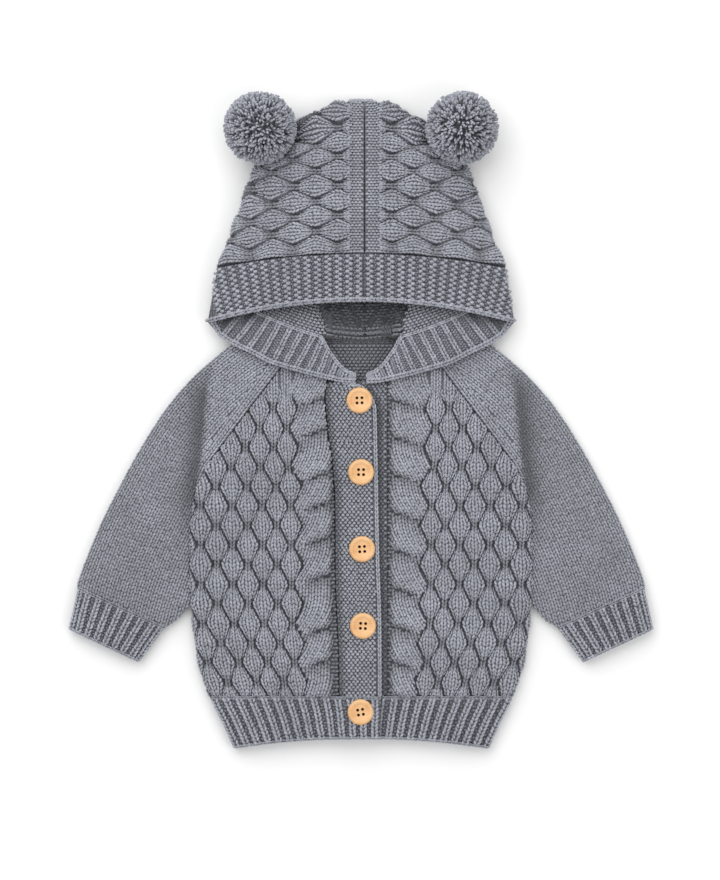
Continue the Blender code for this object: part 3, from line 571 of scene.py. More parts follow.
def shell(name, point, outer, inner, nodes, ref=0, stitched=False, shade=None):
    """A closed thin shell of cloth: point(row, column, inside) in millimetres. stitched says which
    face carries stitches, so that it gets the ground painted in shade, and shade(row, column) how dark it is."""
    places, knits, faces, grounds, grids = [], [], [], [], []
    start = 0
    for (rows, columns), inside in ((outer, False), (inner, True)):
        r, c = np.meshgrid(np.array(rows, float), np.array(columns, float), indexing="ij")
        p = point(r, c, inside)
        across, at = lengths_across(p, columns, ref)
        along = lengths_along(p[:, at])
        # A face that carries stitches gets the ground painted in shade; deep is the extra painted shade
        dark = stitched == "both" or (stitched == "inside") == inside and bool(stitched)
        deep = shade(r, c) if shade and dark else 0 * across
        knit = np.stack([across, np.broadcast_to(along[:, None], across.shape), deep], axis=2)
        index = start + np.arange(len(rows) * len(columns)).reshape(len(rows), len(columns))
        quads = np.stack([index[:-1, :-1], index[:-1, 1:], index[1:, 1:], index[1:, :-1]], axis=2)
        faces += [tuple(q) for q in quads.reshape(-1, 4).tolist()]
        grounds += [0 if dark else 1] * (quads.size // 4)
        places.append(p.reshape(-1, 3))
        knits.append(knit.reshape(-1, 3))
        grids.append((index, rows, columns))
        start += index.size
    (outside, orow, ocol), (lining, irow, icol) = grids
    for end in (0, -1):
        faces += border_faces(outside[end].tolist(), ocol, lining[end].tolist(), icol)
        faces += border_faces(outside[:, end].tolist(), orow, lining[:, end].tolist(), irow)
    grounds += [1] * (len(faces) - len(grounds))
    mesh = bpy.data.meshes.new(name)
    mesh.from_pydata((np.concatenate(places) * MM).tolist(), [], faces)
    mesh.polygons.foreach_set("material_index", grounds)
    knit = mesh.attributes.new("knit", "FLOAT_VECTOR", "POINT")
    knit.data.foreach_set("vector", np.concatenate(knits).ravel())
    bm = bmesh.new()
    bm.from_mesh(mesh)
    bmesh.ops.recalc_face_normals(bm, faces=bm.faces[:])
    bm.to_mesh(mesh)
    bm.free()
    mesh.shade_smooth()
    item = add_object(name, mesh, [ground, plain_knit])
    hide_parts(*nodes)
    return item


SIDES = 4
RINGS = 3
# Each spindle has a square cell of the UV map, with a margin. A core's faces share one small corner.
CELL_MARGIN = 0.06
CORE_UV = [[0.001, 0.001], [0.002, 0.001], [0.001, 0.002]]
CORE_SHADE = 0.9


def spindle_template():
    """Triangles of one spindle, which is a tip, rings of points and a tip, and their UVs."""
    faces, uvs = [], []
    last = 1 + RINGS * SIDES
    for k in range(SIDES):
        m = (k + 1) % SIDES
        u, v = k / SIDES, (k + 1) / SIDES
        faces += [(0, 1 + m, 1 + k), (last, last - SIDES + k, last - SIDES + m)]
        low, high = 1 / (RINGS + 1), RINGS / (RINGS + 1)
        uvs += [((u + v) / 2, 0), (v, low), (u, low), ((u + v) / 2, 1), (u, high), (v, high)]
        for ring in range(RINGS - 1):
            a, b = 1 + ring * SIDES + k, 1 + ring * SIDES + m
            low, high = (ring + 1) / (RINGS + 1), (ring + 2) / (RINGS + 1)
            faces += [(a, b, b + SIDES), (a, b + SIDES, a + SIDES)]
            uvs += [(u, low), (v, low), (v, high), (u, low), (v, high), (u, high)]
    return np.array(faces), np.array(uvs)


TEMPLATE, TEMPLATE_UV = spindle_template()


def spindles(name, points, normals, radius, shade, flat=0.85, nodes=(), core=None):
    """One mesh of closed spindles. points and normals are (count, RINGS + 2, 3), radius (count, RINGS)
    and shade, their painted shade, (count, RINGS + 2). flat is a section's height in widths, and core
    the points and faces of a body inside, painted in shade."""
    count = len(points)
    tangent = unit(np.gradient(points, axis=1))
    side = unit(np.cross(tangent, normals))
    up = np.cross(side, tangent)
    angle = 2 * math.pi * np.arange(SIDES) / SIDES
    verts = 2 + RINGS * SIDES
    places = np.zeros((count, verts, 3))
    yarns = np.zeros((count, verts, 3))
    places[:, 0] = points[:, 0]
    places[:, -1] = points[:, -1]
    shades = np.repeat(shade, [1] + [SIDES] * RINGS + [1], axis=1).ravel()
    length = lengths_along(points)
    shift = np.random.default_rng(count).uniform(0, 900, count)
    yarns[:, 0, 0] = shift
    yarns[:, -1, 0] = shift + length[:, -1]
    for ring in range(RINGS):
        r = radius[:, ring, None]
        spread = np.cos(angle)[None, :, None] * side[:, ring + 1][:, None, :]
        spread = spread + flat * np.sin(angle)[None, :, None] * up[:, ring + 1][:, None, :]
        part = slice(1 + ring * SIDES, 1 + (ring + 1) * SIDES)
        places[:, part] = points[:, ring + 1][:, None, :] + r[..., None] * spread
        yarns[:, part, 0] = (shift + length[:, ring + 1])[:, None]
        yarns[:, part, 1] = r * np.cos(angle)
        yarns[:, part, 2] = r * np.sin(angle)
    faces = (TEMPLATE[None] + verts * np.arange(count)[:, None, None]).reshape(-1, 3)
    grid = math.ceil(math.sqrt(count))
    cell = np.stack([np.arange(count) % grid, np.arange(count) // grid], axis=1)
    uv = (cell[:, None, :] + CELL_MARGIN + (1 - 2 * CELL_MARGIN) * TEMPLATE_UV[None]) / grid
    places = places.reshape(-1, 3)
    yarns = yarns.reshape(-1, 3)
    uv = uv.reshape(-1, 2)
    if core is not None:
        core_places, core_faces = core
        places = np.concatenate([places, core_places])
        yarns = np.concatenate([yarns, core_places])
        shades = np.concatenate([shades, np.full(len(core_places), CORE_SHADE)])
        faces = np.concatenate([faces, core_faces + verts * count])
        uv = np.concatenate([uv, np.tile(CORE_UV, (len(core_faces), 1))])
    mesh = bpy.data.meshes.new(name)
    mesh.vertices.add(len(places))
    mesh.vertices.foreach_set("co", (places * MM).ravel())
    mesh.loops.add(faces.size)
    mesh.loops.foreach_set("vertex_index", faces.ravel())
    mesh.polygons.add(len(faces))
    mesh.polygons.foreach_set("loop_start", np.arange(0, faces.size, 3))
    mesh.polygons.foreach_set("loop_total", np.full(len(faces), 3))
    mesh.uv_layers.new(name="OFBake").data.foreach_set("uv", uv.ravel())
    mesh.attributes.new("yarn", "FLOAT_VECTOR", "POINT").data.foreach_set("vector", yarns.ravel())
    mesh.attributes.new("shade", "FLOAT", "POINT").data.foreach_set("value", shades)
    mesh.update(calc_edges=True)
    mesh.validate()
    mesh.shade_smooth()
    item = add_object(name, mesh, [yarn])
    if nodes:
        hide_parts(*nodes)
    return item


class Fabric:
    """One face of a shell, read by its own lengths: t along its rows' order and s across them.

    face(row, column) gives its points, and bare the same without relief, on which lengths are taken.
    s is 0 at column ref, or start(row) there. With rows_are_t, t is the row itself. flip is 1, or -1
    where the normals would point into the cloth."""

    def __init__(self, face, bare, row_range, columns, ref, start=None, rows_are_t=False, flip=1):
        rows = np.linspace(*row_range, LINE_SAMPLES)
        length = lengths_along(bare(rows[:, None], np.full((len(rows), 1), float(ref)))[:, 0])
        if rows_are_t:
            length = rows
        low, high = length[0], length[-1]
        self.t = np.linspace(low, high, max(int(abs(high - low) / SAMPLE_PITCH), 4))
        self.row = np.interp(self.t, length, rows)
        columns = np.array(columns, float)
        p = bare(*np.meshgrid(self.row, columns, indexing="ij"))
        across, _ = lengths_across(p, columns, ref)
        if start is not None:
            across = across + start(self.row)[:, None]
        self.low, self.high = across[:, 0], across[:, -1]
        low, high = self.low.min(), self.high.max()
        self.s = np.linspace(low, high, max(int((high - low) / SAMPLE_PITCH), 4))
        c = np.stack([np.interp(self.s, line, columns) for line in across])
        r = np.broadcast_to(self.row[:, None], c.shape)
        self.points = face(r, c)
        du = np.gradient(self.points, axis=1)
        dv = np.gradient(self.points, axis=0)
        self.normals = flip * unit(np.cross(du, dv))

    def range_at(self, t):
        return np.interp(t, self.t, self.low), np.interp(t, self.t, self.high)

    def inside(self, t, s):
        low, high = self.range_at(t)
        return (s > low) & (s < high) & (t > self.t[0]) & (t < self.t[-1])

    def at(self, t, s):
        """Points and normals, read between the samples."""
        i = np.clip((t - self.t[0]) / (self.t[1] - self.t[0]), 0, len(self.t) - 1.001)
        j = np.clip((s - self.s[0]) / (self.s[1] - self.s[0]), 0, len(self.s) - 1.001)
        a, b = i.astype(int), j.astype(int)
        u, v = (i - a)[..., None], (j - b)[..., None]
        found = []
        for grid in (self.points, self.normals):
            low = lerp(grid[a, b], grid[a, b + 1], v)
            high = lerp(grid[a + 1, b], grid[a + 1, b + 1], v)
            found.append(lerp(low, high, u))
        return found[0], unit(found[1])


chance = np.random.default_rng(21)

# One leg of a V stitch, from its tip between the legs of the stitch below: places along the wale in
# courses and across it in widths, lift in millimetres and radius in widths
LEG_ALONG = np.array([-0.24, 0.10, 0.50, 0.90, 1.24])
LEG_ACROSS = np.array([0.05, 0.155, 0.25, 0.335, 0.40])
LEG_LIFT = np.array([-0.8, 0.30, 0.75, 0.42, -0.7])
LEG_RADIUS = np.array([0.17, 0.225, 0.185])
# One purl bump, across the wale
BUMP_ALONG = np.array([-0.5, 0.2, 0.5, 0.2, -0.5])
BUMP_ACROSS = np.array([-0.60, -0.33, 0.0, 0.33, 0.60])
BUMP_LIFT = np.array([-1.1, 0.1, 0.5, 0.1, -1.1])
BUMP_RADIUS = np.array([0.8, 1.0, 0.8])


def leg_places(base, course, direction):
    """Places along a wale of the legs that start at base and run in a direction, 1 or -1."""
    return base[:, None] + course * (0.5 + direction * (LEG_ALONG - 0.5))


def by_turns(step):
    """Shifts, by half a step each way, of rows that take turns."""
    return -step / 2, step / 2


class Knitting:
    """Collects the stitches of a piece. shade(t, s) is how dark its fabric is at a place."""

    def __init__(self, shade=None):
        self.shade = shade
        self.points, self.normals, self.radii, self.shades = [], [], [], []

    def lay(self, fabric, along, across, lift, radius, turned=False, keep=None, dark=0.0):
        """Spindles from (count, RINGS + 2) coordinates. turned: the wales run across the rows."""
        along, across = np.broadcast_arrays(along, across)
        t, s = (across, along) if turned else (along, across)
        ok = fabric.inside(t[:, 2], s[:, 2])
        if keep is not None:
            ok &= keep
        if not ok.any():
            return
        t, s = t[ok], s[ok]
        p, n = fabric.at(t, s)
        lift = np.broadcast_to(lift, along.shape)[ok] + chance.normal(0, UNEVEN_LIFT, (len(t), 1))
        self.points.append(p + n * lift[..., None])
        self.normals.append(n)
        self.radii.append(np.broadcast_to(radius, (len(ok), RINGS))[ok]
                          * chance.normal(1, UNEVEN_RADIUS, (len(t), 1)))
        shade = self.shade(t, s) if self.shade else np.zeros(t.shape)
        self.shades.append(np.clip(shade + dark, 0, 1))

    def wale(self, fabric, line, start, stop, width, course=COURSE, turned=False, keep=None, fat=1.0):
        """A column of V stitches, evenly long on the cloth. line(a) is its centre, at a along it, and
        width its width or a function that gives it."""
        path = np.linspace(min(start, stop), max(start, stop), LINE_SAMPLES)
        middle = line(path) + 0 * path
        places = fabric.at(middle, path)[0] if turned else fabric.at(path, middle)[0]
        length = lengths_along(places, least=1e-6)
        if length[-1] < course:
            return
        base = np.arange(chance.uniform(0, 0.4) * course, length[-1] - 0.4 * course, course)
        base = base + chance.normal(0, UNEVEN_COURSE * course, base.shape)
        direction = 1.0 if stop > start else -1.0
        mean_step = (path[-1] - path[0]) / length[-1]
        for side in (-1, 1):
            run = leg_places(base, course, direction)
            run = run + chance.normal(0, UNEVEN_LEG * course, (len(base), 1))
            a = np.interp(run, length, path) + (run - np.clip(run, 0, length[-1])) * mean_step
            w = (width(a) if callable(width) else width) + 0 * a
            b = line(a) + side * w * LEG_ACROSS + chance.normal(0, UNEVEN_ACROSS, (len(base), 1))
            ok = keep(a[:, 2], b[:, 2]) if keep else None
            self.lay(fabric, a, b, LEG_LIFT * w[:, 2:3] / WALE, w[:, 2:3] * LEG_RADIUS * fat, turned, ok)

    def arcs(self, fabric, along, across, bump, keep=None):
        """Purl bumps: short curved spindles that lie across the wales."""
        across = np.atleast_1d(across)
        a = np.broadcast_to(along, across.shape)[:, None] + bump.bow * BUMP_ALONG
        b = across[:, None] + bump.width * BUMP_ACROSS
        self.lay(fabric, a, b, bump.lift + bump.radius * BUMP_LIFT, bump.radius * BUMP_RADIUS, keep=keep,
                 dark=bump.dark)

    def rows(self, fabric, places, across, shifts, bump, second=None, keep=None):
        """Rows of purl bumps at the places along. Rows are shifted, and made of bump or second, by
        turns. across holds their places across, or gives them at a row."""
        for i, t in enumerate(places):
            s = np.atleast_1d(across(t) if callable(across) else across) + shifts[i % 2]
            ok = keep(t, s) if keep else None
            self.arcs(fabric, t, s, second if second and i % 2 else bump, ok)

    def chain(self, line, normal, edge, reverse=False):
        """An edge of V stitches along a line of points."""
        line = np.asarray(line, float)
        length = lengths_along(line)
        base = np.arange(0.0, length[-1] - 0.6 * edge.course, edge.course)
        a = leg_places(base, edge.course, -1.0 if reverse else 1.0)
        n = unit(np.broadcast_to(np.array(normal, float), a.shape + (3,)))

        def place(a):
            return np.stack([np.interp(a, length, line[:, k]) for k in range(3)], axis=-1)

        across = unit(np.cross(unit(place(a + 0.5) - place(a - 0.5)), n))
        rise = edge.lift + LEG_LIFT * edge.width / WALE
        for side in (-1, 1):
            out = side * edge.width * LEG_ACROSS
            self.points.append(place(a) + across * out[None, :, None] + n * rise[None, :, None])
            self.normals.append(n)
            self.radii.append(edge.width * LEG_RADIUS * edge.fat
                              * chance.normal(1, UNEVEN_EDGE, (len(base), 1)))
            self.shades.append(np.full(a.shape, edge.dark))

    def make(self, name):
        collected = (self.points, self.normals, self.radii, self.shades)
        return spindles(name, *(np.concatenate(part) for part in collected))


# ---------------------------------------------------------------- body

side_line = column(BODY_SIDE, "half_width", by="y")
right_border = column(FRONT_BORDER, "right_front_x", by="y")
left_border = column(FRONT_BORDER, "left_front_x", by="y")
top_band_edge = column(TOP_BAND_EDGE, "free_x", by="y")
chain_x = column(CHAINS, "first_x", by="y")
chain_pitch = column(CHAINS, "pitch", by="y")
flow_x = column(FLOW, "x", by="rise")

# Length of a flat rolled edge per unit of its reach, by angle
ROLL_RATIO = 0.27
ROLL_ANGLES = np.linspace(0, HALF_PI, 91)
ROLL_STEPS = np.hypot(np.cos(ROLL_ANGLES), ROLL_RATIO * np.sin(ROLL_ANGLES))
ROLL_LENGTHS = np.concatenate([[0.0], np.cumsum((ROLL_STEPS[1:] + ROLL_STEPS[:-1]) / 2
                                                * np.diff(ROLL_ANGLES))])
# Columns of the back, closer where it rolls up at the sides
BACK_COLUMNS = [-2, -1.8, -1.6, -1.4, -1.25, -1, -0.5, 0, 0.5, 1, 1.25, 1.4, 1.6, 1.8, 2]


def front_tables(side):
    """Inner border of a front and the creases of its cable."""
    return (left_border, LEFT_CREASES) if side > 0 else (right_border, RIGHT_CREASES)


def half_width(y):
    above = RAGLAN_TOP_X + RAGLAN_SLOPE * (NECK_Y - y)
    return np.where(y > ARMPIT_Y, above, side_line(y))


def side_fold(y):
    return ramp(y, *SIDE_FOLD_Y)


def phase(y, k):
    """Place along chain k's bubbles: 0 in the middle of one, -1 and 1 at its ends."""
    return ((y - BUBBLE_Y) / (BUBBLE_LENGTH / 2) + k % 2 + 1) % 2 - 1


def chain_at(y, k):
    """Middle of chain k."""
    return chain_x(y) + chain_pitch(y) * k + CHAIN_SPREAD * k * k


def zigzag(b):
    """A wave between a cosine and a triangle."""
    return 0.9 * np.cos(math.pi * b) + 0.1 * np.cos(3 * math.pi * b)


def border_at(y, k):
    """Zigzag border between chains k and k + 1."""
    middle = 0.5 * (chain_at(y, k) + chain_at(y, k + 1))
    return middle + ZIGZAG * chain_pitch(y) * zigzag(phase(y, k))


def chain_span(y, k):
    """Middle and half width of chain k."""
    low, high = border_at(y, k - 1), border_at(y, k)
    return (low + high) / 2, (high - low) / 2


def fullness(b):
    """1 in the middle of a bubble and 0 at its ends."""
    return 0.5 + 0.5 * np.cos(math.pi * b)


def dome(a, full, deep):
    """Height of a bubble's section at a from its middle, -1 to 1. A border that isn't deep is bridged."""
    bridge = 0.22 * (1 - deep) * 4 * full * (1 - full)
    rise = np.clip(1 - np.abs(a) ** 2.3, 0, 1) ** 0.55 * (0.2 + 0.8 * full ** 0.8)
    return np.maximum(rise, 0.0) * (1 - bridge) + bridge * np.clip(1.6 * (1 - a * a) + 0.45, 0, 1)


def chain_height(x, y, k, side):
    """Height, 0 to 1, of chain k."""
    middle, half = chain_span(y, k)
    a = (x - middle) / half
    b = phase(y, k)
    deep = 0.5 + 0.5 * side * np.sign(a) * np.sin(math.pi * b)
    return np.where(np.abs(a) < 1, dome(a, fullness(b), deep), 0.0)


def bubble_rise(x, y, side):
    best = np.zeros(np.broadcast(x, y).shape)
    for k in range(CHAIN_COUNT):
        best = np.maximum(best, chain_height(x, y, k, side))
    return best


def lobe_of(x, y, creases):
    """Number of the lobe at a place, its height above the crease below it and its share of the lobe."""
    level = y - CREASE_SLOPE * (np.minimum(x, CREASE_END + 4) - CREASE_X)
    lobe = np.clip(np.searchsorted(creases, level, side="right") - 1, 0, len(creases) - 2)
    low = np.array(creases)[lobe]
    return lobe, level - low, (level - low) / (np.array(creases)[lobe + 1] - low)


def cable_edge(share):
    """Scalloped edge of the cable beside the band."""
    return CABLE_EDGE + 2.6 * (1 - np.sin(math.pi * np.clip(share, 0, 1)) ** 0.7)


def rounded(distance, reach):
    """Rises from 0 to 1 like a quarter of a circle."""
    t = np.clip(distance / reach, 0, 1)
    return np.sqrt(t * (2 - t))


def cable_rise(x, y, creases):
    _, above, share = lobe_of(x, y, creases)
    crossing = rounded(above, 5.0) * (1 - 0.72 * smooth((share - 0.35) / 0.65))
    tail = ramp(x, CREASE_END - 4, CREASE_END + 4)
    crossing = lerp(crossing, 0.55 + 0.25 * np.cos(math.pi * phase(y, -1)), tail)
    inner = rounded(x - cable_edge(share) + 0.8, 6.5)
    outer = rounded(border_at(y, -1) - x, 5.5)
    return crossing * inner * outer


def relief_of(x, y, side):
    """Height of the cable and the bubbles, where nothing flattens them."""
    creases = front_tables(side)[1]
    return np.maximum(CABLE_HEIGHT * cable_rise(x, y, creases), BUBBLE_HEIGHT * bubble_rise(x, y, side))


def front_relief(x, y, side):
    at_ends = ramp(y, *PLAIN_Y) * ramp(y, HEM_TOP_Y - 1, HEM_TOP_Y + 5)
    from_raglan = np.where(y > ARMPIT_Y, half_width(y) - x, 99.0)
    height = relief_of(x, y, side) * at_ends * ramp(from_raglan, 0, 5)
    return height - 0.9 * (1 - ramp(from_raglan, 0.4, 2.2)) * (1 - side_fold(y))


def roll_of(y):
    """How far the side is folded at y, and the reach of its roll."""
    fold = side_fold(y)
    return fold, lerp(RAGLAN_ROLL, FRONT_ROLL, fold)


def around(c):
    """Angle round the side fold: 0 up to column 1, and a right angle at 2."""
    return np.maximum(c - 1, 0.0) * HALF_PI


def unrolled(x_in, half, y, c):
    """Distance from the middle along the cloth of a front."""
    roll = roll_of(y)[1]
    return lerp(x_in, half - roll, np.minimum(c, 1)) + roll * np.interp(around(c), ROLL_ANGLES, ROLL_LENGTHS)


def no_relief(w):
    return 0 * w


def front_cloth(x_in, half, y, c, inside, relief):
    """x and z of a front: c from 0, its inner border, to 1, and round the side fold to 2."""
    fold, roll = roll_of(y)
    level, out = np.cos(around(c)), np.sin(around(c))
    edge_z = lerp(RAGLAN_EDGE_Z, FRONT_SIDE_Z, fold)
    x = lerp(x_in, half - roll, np.minimum(c, 1)) + (roll - (BODY_CLOTH * fold if inside else 0)) * out
    z = edge_z + (FRONT_TOP_Z - edge_z) * level
    if inside:
        z = z - BODY_CLOTH * lerp(1, level, fold)
    else:
        rise = relief(unrolled(x_in, half, y, c)) * ramp(level, -0.05, 0.6)
        x = x + rise * out * 0.35
        z = z + rise
    return x, z


def front_point(side, bare=False):
    border, _ = front_tables(side)

    def point(y, c, inside=False):
        relief = no_relief if bare else lambda w: front_relief(w, y, side)
        x, z = front_cloth(border(y), half_width(y), y, c, inside, relief)
        return np.stack([side * x, y + 0 * x, z], axis=-1)

    return point


def sunk(x, y, side, low, high):
    """1 where the relief of a front is lower than low, 0 above high."""
    return (1 - ramp(relief_of(x, y, side), low, high)) * ramp(y, *PLAIN_Y)


def cable_shade(x, y, creases):
    """1 just above a crease of the cable and at its scalloped edge."""
    _, above, share = lobe_of(x, y, creases)
    crossing = (1 - ramp(above, 0.4, 6.5)) * (1 - ramp(x, CREASE_END - 8, CREASE_END))
    edge = 1 - ramp(x - cable_edge(share), 0.0, 3.5)
    return np.maximum(crossing, edge) * (x < border_at(y, -1)) * ramp(y, *PLAIN_Y)


def front_shade(side):
    """Ground is in shade where the relief is low."""
    border, _ = front_tables(side)

    def shade(y, c):
        x = unrolled(border(y), half_width(y), y, c)
        return lerp(0.3, 0.68, ramp(x, CABLE_EDGE - 1, CABLE_EDGE + 5)) * sunk(x, y, side, 0.6, 2.6)

    return shade


def back_point(y, c, inside=False):
    fold = side_fold(y)
    level, out = np.cos(around(np.abs(c))), np.sin(around(np.abs(c)))
    reach = half_width(y) - BACK_ROLL
    x = reach * np.minimum(np.abs(c), 1) + (BACK_ROLL - (BODY_CLOTH * fold if inside else 0)) * out
    z = BACK_SIDE_Z * fold * (1 - level)
    if inside:
        z = z + BODY_CLOTH * lerp(1, level, fold)
    return np.stack([np.copysign(x, c), y + 0 * x, z], axis=-1)


def rib_wave(position):
    """0 at whole positions, between ribs, and 1 on the ribs."""
    return 0.5 - 0.5 * np.cos(2 * math.pi * position)


def rib_recess(wave, v, depth):
    """Shade between ribs, from the seam of a hem or cuff down."""
    return depth * (1 - wave) ** 0.7 * ramp(v, 0.0, 0.3)


def hem_y(v, x):
    low = HEM_CENTRE_Y - HEM_SIDE_DROP * (np.abs(x) / BODY_SIDE[0].half_width) ** 2.2
    return lerp(HEM_TOP_Y - SEAM_GAP, low, v)


def hem_guess(v):
    """y of a row of the hem as if it ran straight, which its sections are read at."""
    return lerp(HEM_TOP_Y - SEAM_GAP, HEM_CENTRE_Y - HEM_SIDE_DROP, v)


def hem_back_point(v, c, inside=False):
    p = back_point(hem_guess(v), c, inside)
    p[..., 1] = hem_y(v, p[..., 0])
    return p


def hem_ends(side, v):
    """Inner and outer end of a front hem, by true distance from the middle."""
    guess = hem_guess(v)
    inner_x = -top_band_edge(guess) if side < 0 else UNDER_BAND_X + 0 * guess
    return inner_x, side_line(guess)


def hem_wave(side, v, x):
    """Ribs of a front hem, at a true distance from the middle."""
    inner_x, half = hem_ends(side, v)
    return rib_wave((x - inner_x) / (half - inner_x) * HEM_RIBS[side])


def hem_rib_x(side, v, number):
    """Distance from the middle of a rib's side, or of its middle at number + 0.5."""
    inner_x, half = hem_ends(side, v)
    return inner_x + (half - inner_x) * number / HEM_RIBS[side]


def from_low_button(x, y):
    return np.hypot(x - BUTTON_PLACES[-1][0], y - BUTTON_PLACES[-1][1])


def hem_front_point(side, bare=False):
    def point(v, c, inside=False):
        guess = hem_guess(v)

        def relief(w):
            """Ribs, but none under the button or the other hem."""
            if side < 0:
                bared = ramp(from_low_button(-w, hem_y(v, w)), BUTTON_RADIUS - 3, BUTTON_RADIUS + 1)
            else:
                bared = ramp(w - top_band_edge(guess), 0, 3)
            return RIB_HEIGHT * hem_wave(side, v, w) * bared

        x, z = front_cloth(*hem_ends(side, v), guess, c, inside, no_relief if bare else relief)
        x = side * x
        if side < 0:
            z = z + (TOP_BAND_Z - UNDER_BAND_Z) * ramp(x, *HEM_RAMP)
        else:
            z = z - UNDER_HEM_DROP * ramp(x, *UNDER_HEM_RAMP)
        return np.stack([x, hem_y(v, x), z], axis=-1)

    return point


def band_top_point(y, c, inside=False):
    x = lerp(-right_border(y) + SEAM_GAP, top_band_edge(y), c)
    z = lerp(UNDER_BAND_Z + 0.2, TOP_BAND_Z, ramp(x + right_border(y), 0, BAND_RAMP))
    return np.stack([x, y + 0 * x, z if inside else z + BAND_CLOTH], axis=-1)


def band_under_point(y, c, inside=False):
    x = lerp(UNDER_BAND_X, left_border(y) - SEAM_GAP, c)
    z = UNDER_BAND_Z + 0 * x
    return np.stack([x, y + 0 * x, z if inside else z + BAND_CLOTH], axis=-1)


def trimmed(span, low_deep, high_deep):
    """Middle and half width of a chain between the gaps at its borders, by how deep these are."""
    middle, half = span
    low = middle - half + lerp(SOFT_GAP, CREASE_GAP, low_deep ** 1.5)
    high = middle + half - lerp(SOFT_GAP, CREASE_GAP, high_deep ** 1.5)
    return (low + high) / 2, (high - low) / 2


def front_wales(y, k, side):
    """Creases that run down to the right in the picture are deeper than those to the left."""
    turn = 0.5 * side * np.sin(math.pi * phase(y, k))
    return trimmed(chain_span(y, k), 0.5 - turn, 0.5 + turn)


def wale_width(half, j):
    """Width of wale j of a bubble's three."""
    return np.maximum(2 * half / 3, LEAST_WALE) if j == 0 else 2 * half / 3


def lay_bubble_wale(work, fabric, side, k, j):
    """Wale j of chain k's three, which draw together between the bubbles and run plain at the top."""
    def plain(y):
        return 1 - ramp(y, *PLAIN_Y)

    def width(y):
        return lerp(wale_width(front_wales(y, k, side)[1], j), chain_pitch(y) / PLAIN_WALES, plain(y))

    def line(y):
        middle, half = front_wales(y, k, side)
        offset = j * lerp(2 * half / 3, chain_pitch(y) / PLAIN_WALES, plain(y))
        return lerp(middle, chain_at(y, k), plain(y)) + offset

    def keep(y, x):
        flat = np.abs(x - chain_at(y, k)) < chain_pitch(y) / 2
        return np.where(plain(y) > 0.5, flat, (j == 0) | (chain_span(y, k)[1] > NARROW))

    work.wale(fabric, line, HEM_TOP_Y + 0.5, NECK_Y - 1, width, keep=keep)


def lay_cable_wale(work, fabric, creases, n, j):
    """Wale j of lobe n, which leans inwards as it rises."""
    low, high = creases[n], creases[n + 1]

    def line(y):
        return flow_x(y - low) + CABLE_PITCH * j

    def keep(y, x):
        lobe, above, share = lobe_of(x, y, creases)
        clear = (lobe == n) & (((above > 1.0) & ((high - low) * (1 - share) > 0.6)) | (x > CREASE_END - 4))
        return clear & (x > cable_edge(share) - 0.2) & (x < border_at(y, -1) - 1.2) & (y < NECK_Y)

    work.wale(fabric, line, max(low - 6, HEM_TOP_Y + 0.5), min(high + 5, NECK_Y), CABLE_WALE, keep=keep)


def make_front(side, name):
    rows = even(HEM_TOP_Y, FRONT_END_Y, 150)
    columns = np.concatenate([even(0, 1, 66), even(1, 2, 18)[1:]])
    inner = (even(HEM_TOP_Y, FRONT_END_Y, 24), [0, 1, 1.34, 1.67, 2])
    point = front_point(side)
    item = shell(name + "_cloth", point, (rows, columns), inner, [name], stitched="outside",
                 shade=front_shade(side))
    border, creases = front_tables(side)
    fabric = Fabric(point, front_point(side, True), (HEM_TOP_Y, FRONT_END_Y), even(0, 2, 160), 0,
                    start=border, rows_are_t=True, flip=side)
    work = Knitting(lambda y, x: np.maximum(0.42 * sunk(x, y, side, 0.7, 2.8),
                                            0.42 * cable_shade(x, y, creases)))
    for k in range(CHAIN_COUNT):
        for j in (-1, 0, 1):
            lay_bubble_wale(work, fabric, side, k, j)
    for n in range(len(creases) - 1):
        for j in range(-4, 6):
            lay_cable_wale(work, fabric, creases, n, j)
    # Reverse stitches in the strip between cable and band
    work.rows(fabric, np.arange(HEM_TOP_Y + 2, NECK_Y, COURSE), lambda y: border(y) + np.array([0.6, 3.6]),
              (0, 1.2), STRIP_BUMP, keep=lambda y, x: x < cable_edge(lobe_of(x, y, creases)[2]) - 0.4)
    return item, work.make(name + "_stitches")


def make_body():
    rows = np.concatenate([even(HEM_TOP_Y, -69, 30), even(-69, -31, 16)[1:], [NECK_Y - 0.2]])
    back = shell("back_cloth", back_point, (rows, BACK_COLUMNS), (rows, BACK_COLUMNS), ["body_back"],
                 stitched="inside")
    # The wrong side of the back shows in the neck, its ground, bumps and seam painted in shade
    inner_face = partial(back_point, inside=True)
    inside = Fabric(inner_face, inner_face, (20, NECK_Y - 0.2), even(-0.6, 0.6, 40), 0, rows_are_t=True)
    work = Knitting()
    work.rows(inside, np.arange(30.0, 59.5, 2.5), np.arange(-NECK_REACH, NECK_REACH, 3.4), (0, 1.7),
              NECK_BUMP)
    seam = [[x, NECK_Y - 0.3, BODY_CLOTH + 0.2] for x in (-NECK_REACH, NECK_REACH)]
    work.chain(seam, UP, NECK_SEAM)
    neck = work.make("back_neck_stitches")
    for side, name in ((-1, "front_right"), (1, "front_left")):
        item, stitches = make_front(side, name)


def border_chains(work, point, c, outward, reverse):
    """Chains of stitches along the seam of a ribbed piece, out from under the lowest button, and along
    its cast-off edge."""
    seam = point(0 * c, c)
    seam = seam[np.abs(seam[:, 0]) > BUTTON_RADIUS + 2]
    work.chain(seam, UP, RIB_SEAM)
    work.chain(point(0 * c + 0.985, c), outward, RIB_EDGE, reverse)


def rib_bump_rows(length):
    return np.arange(1.0, length - 1, RIB_BUMP_PITCH)


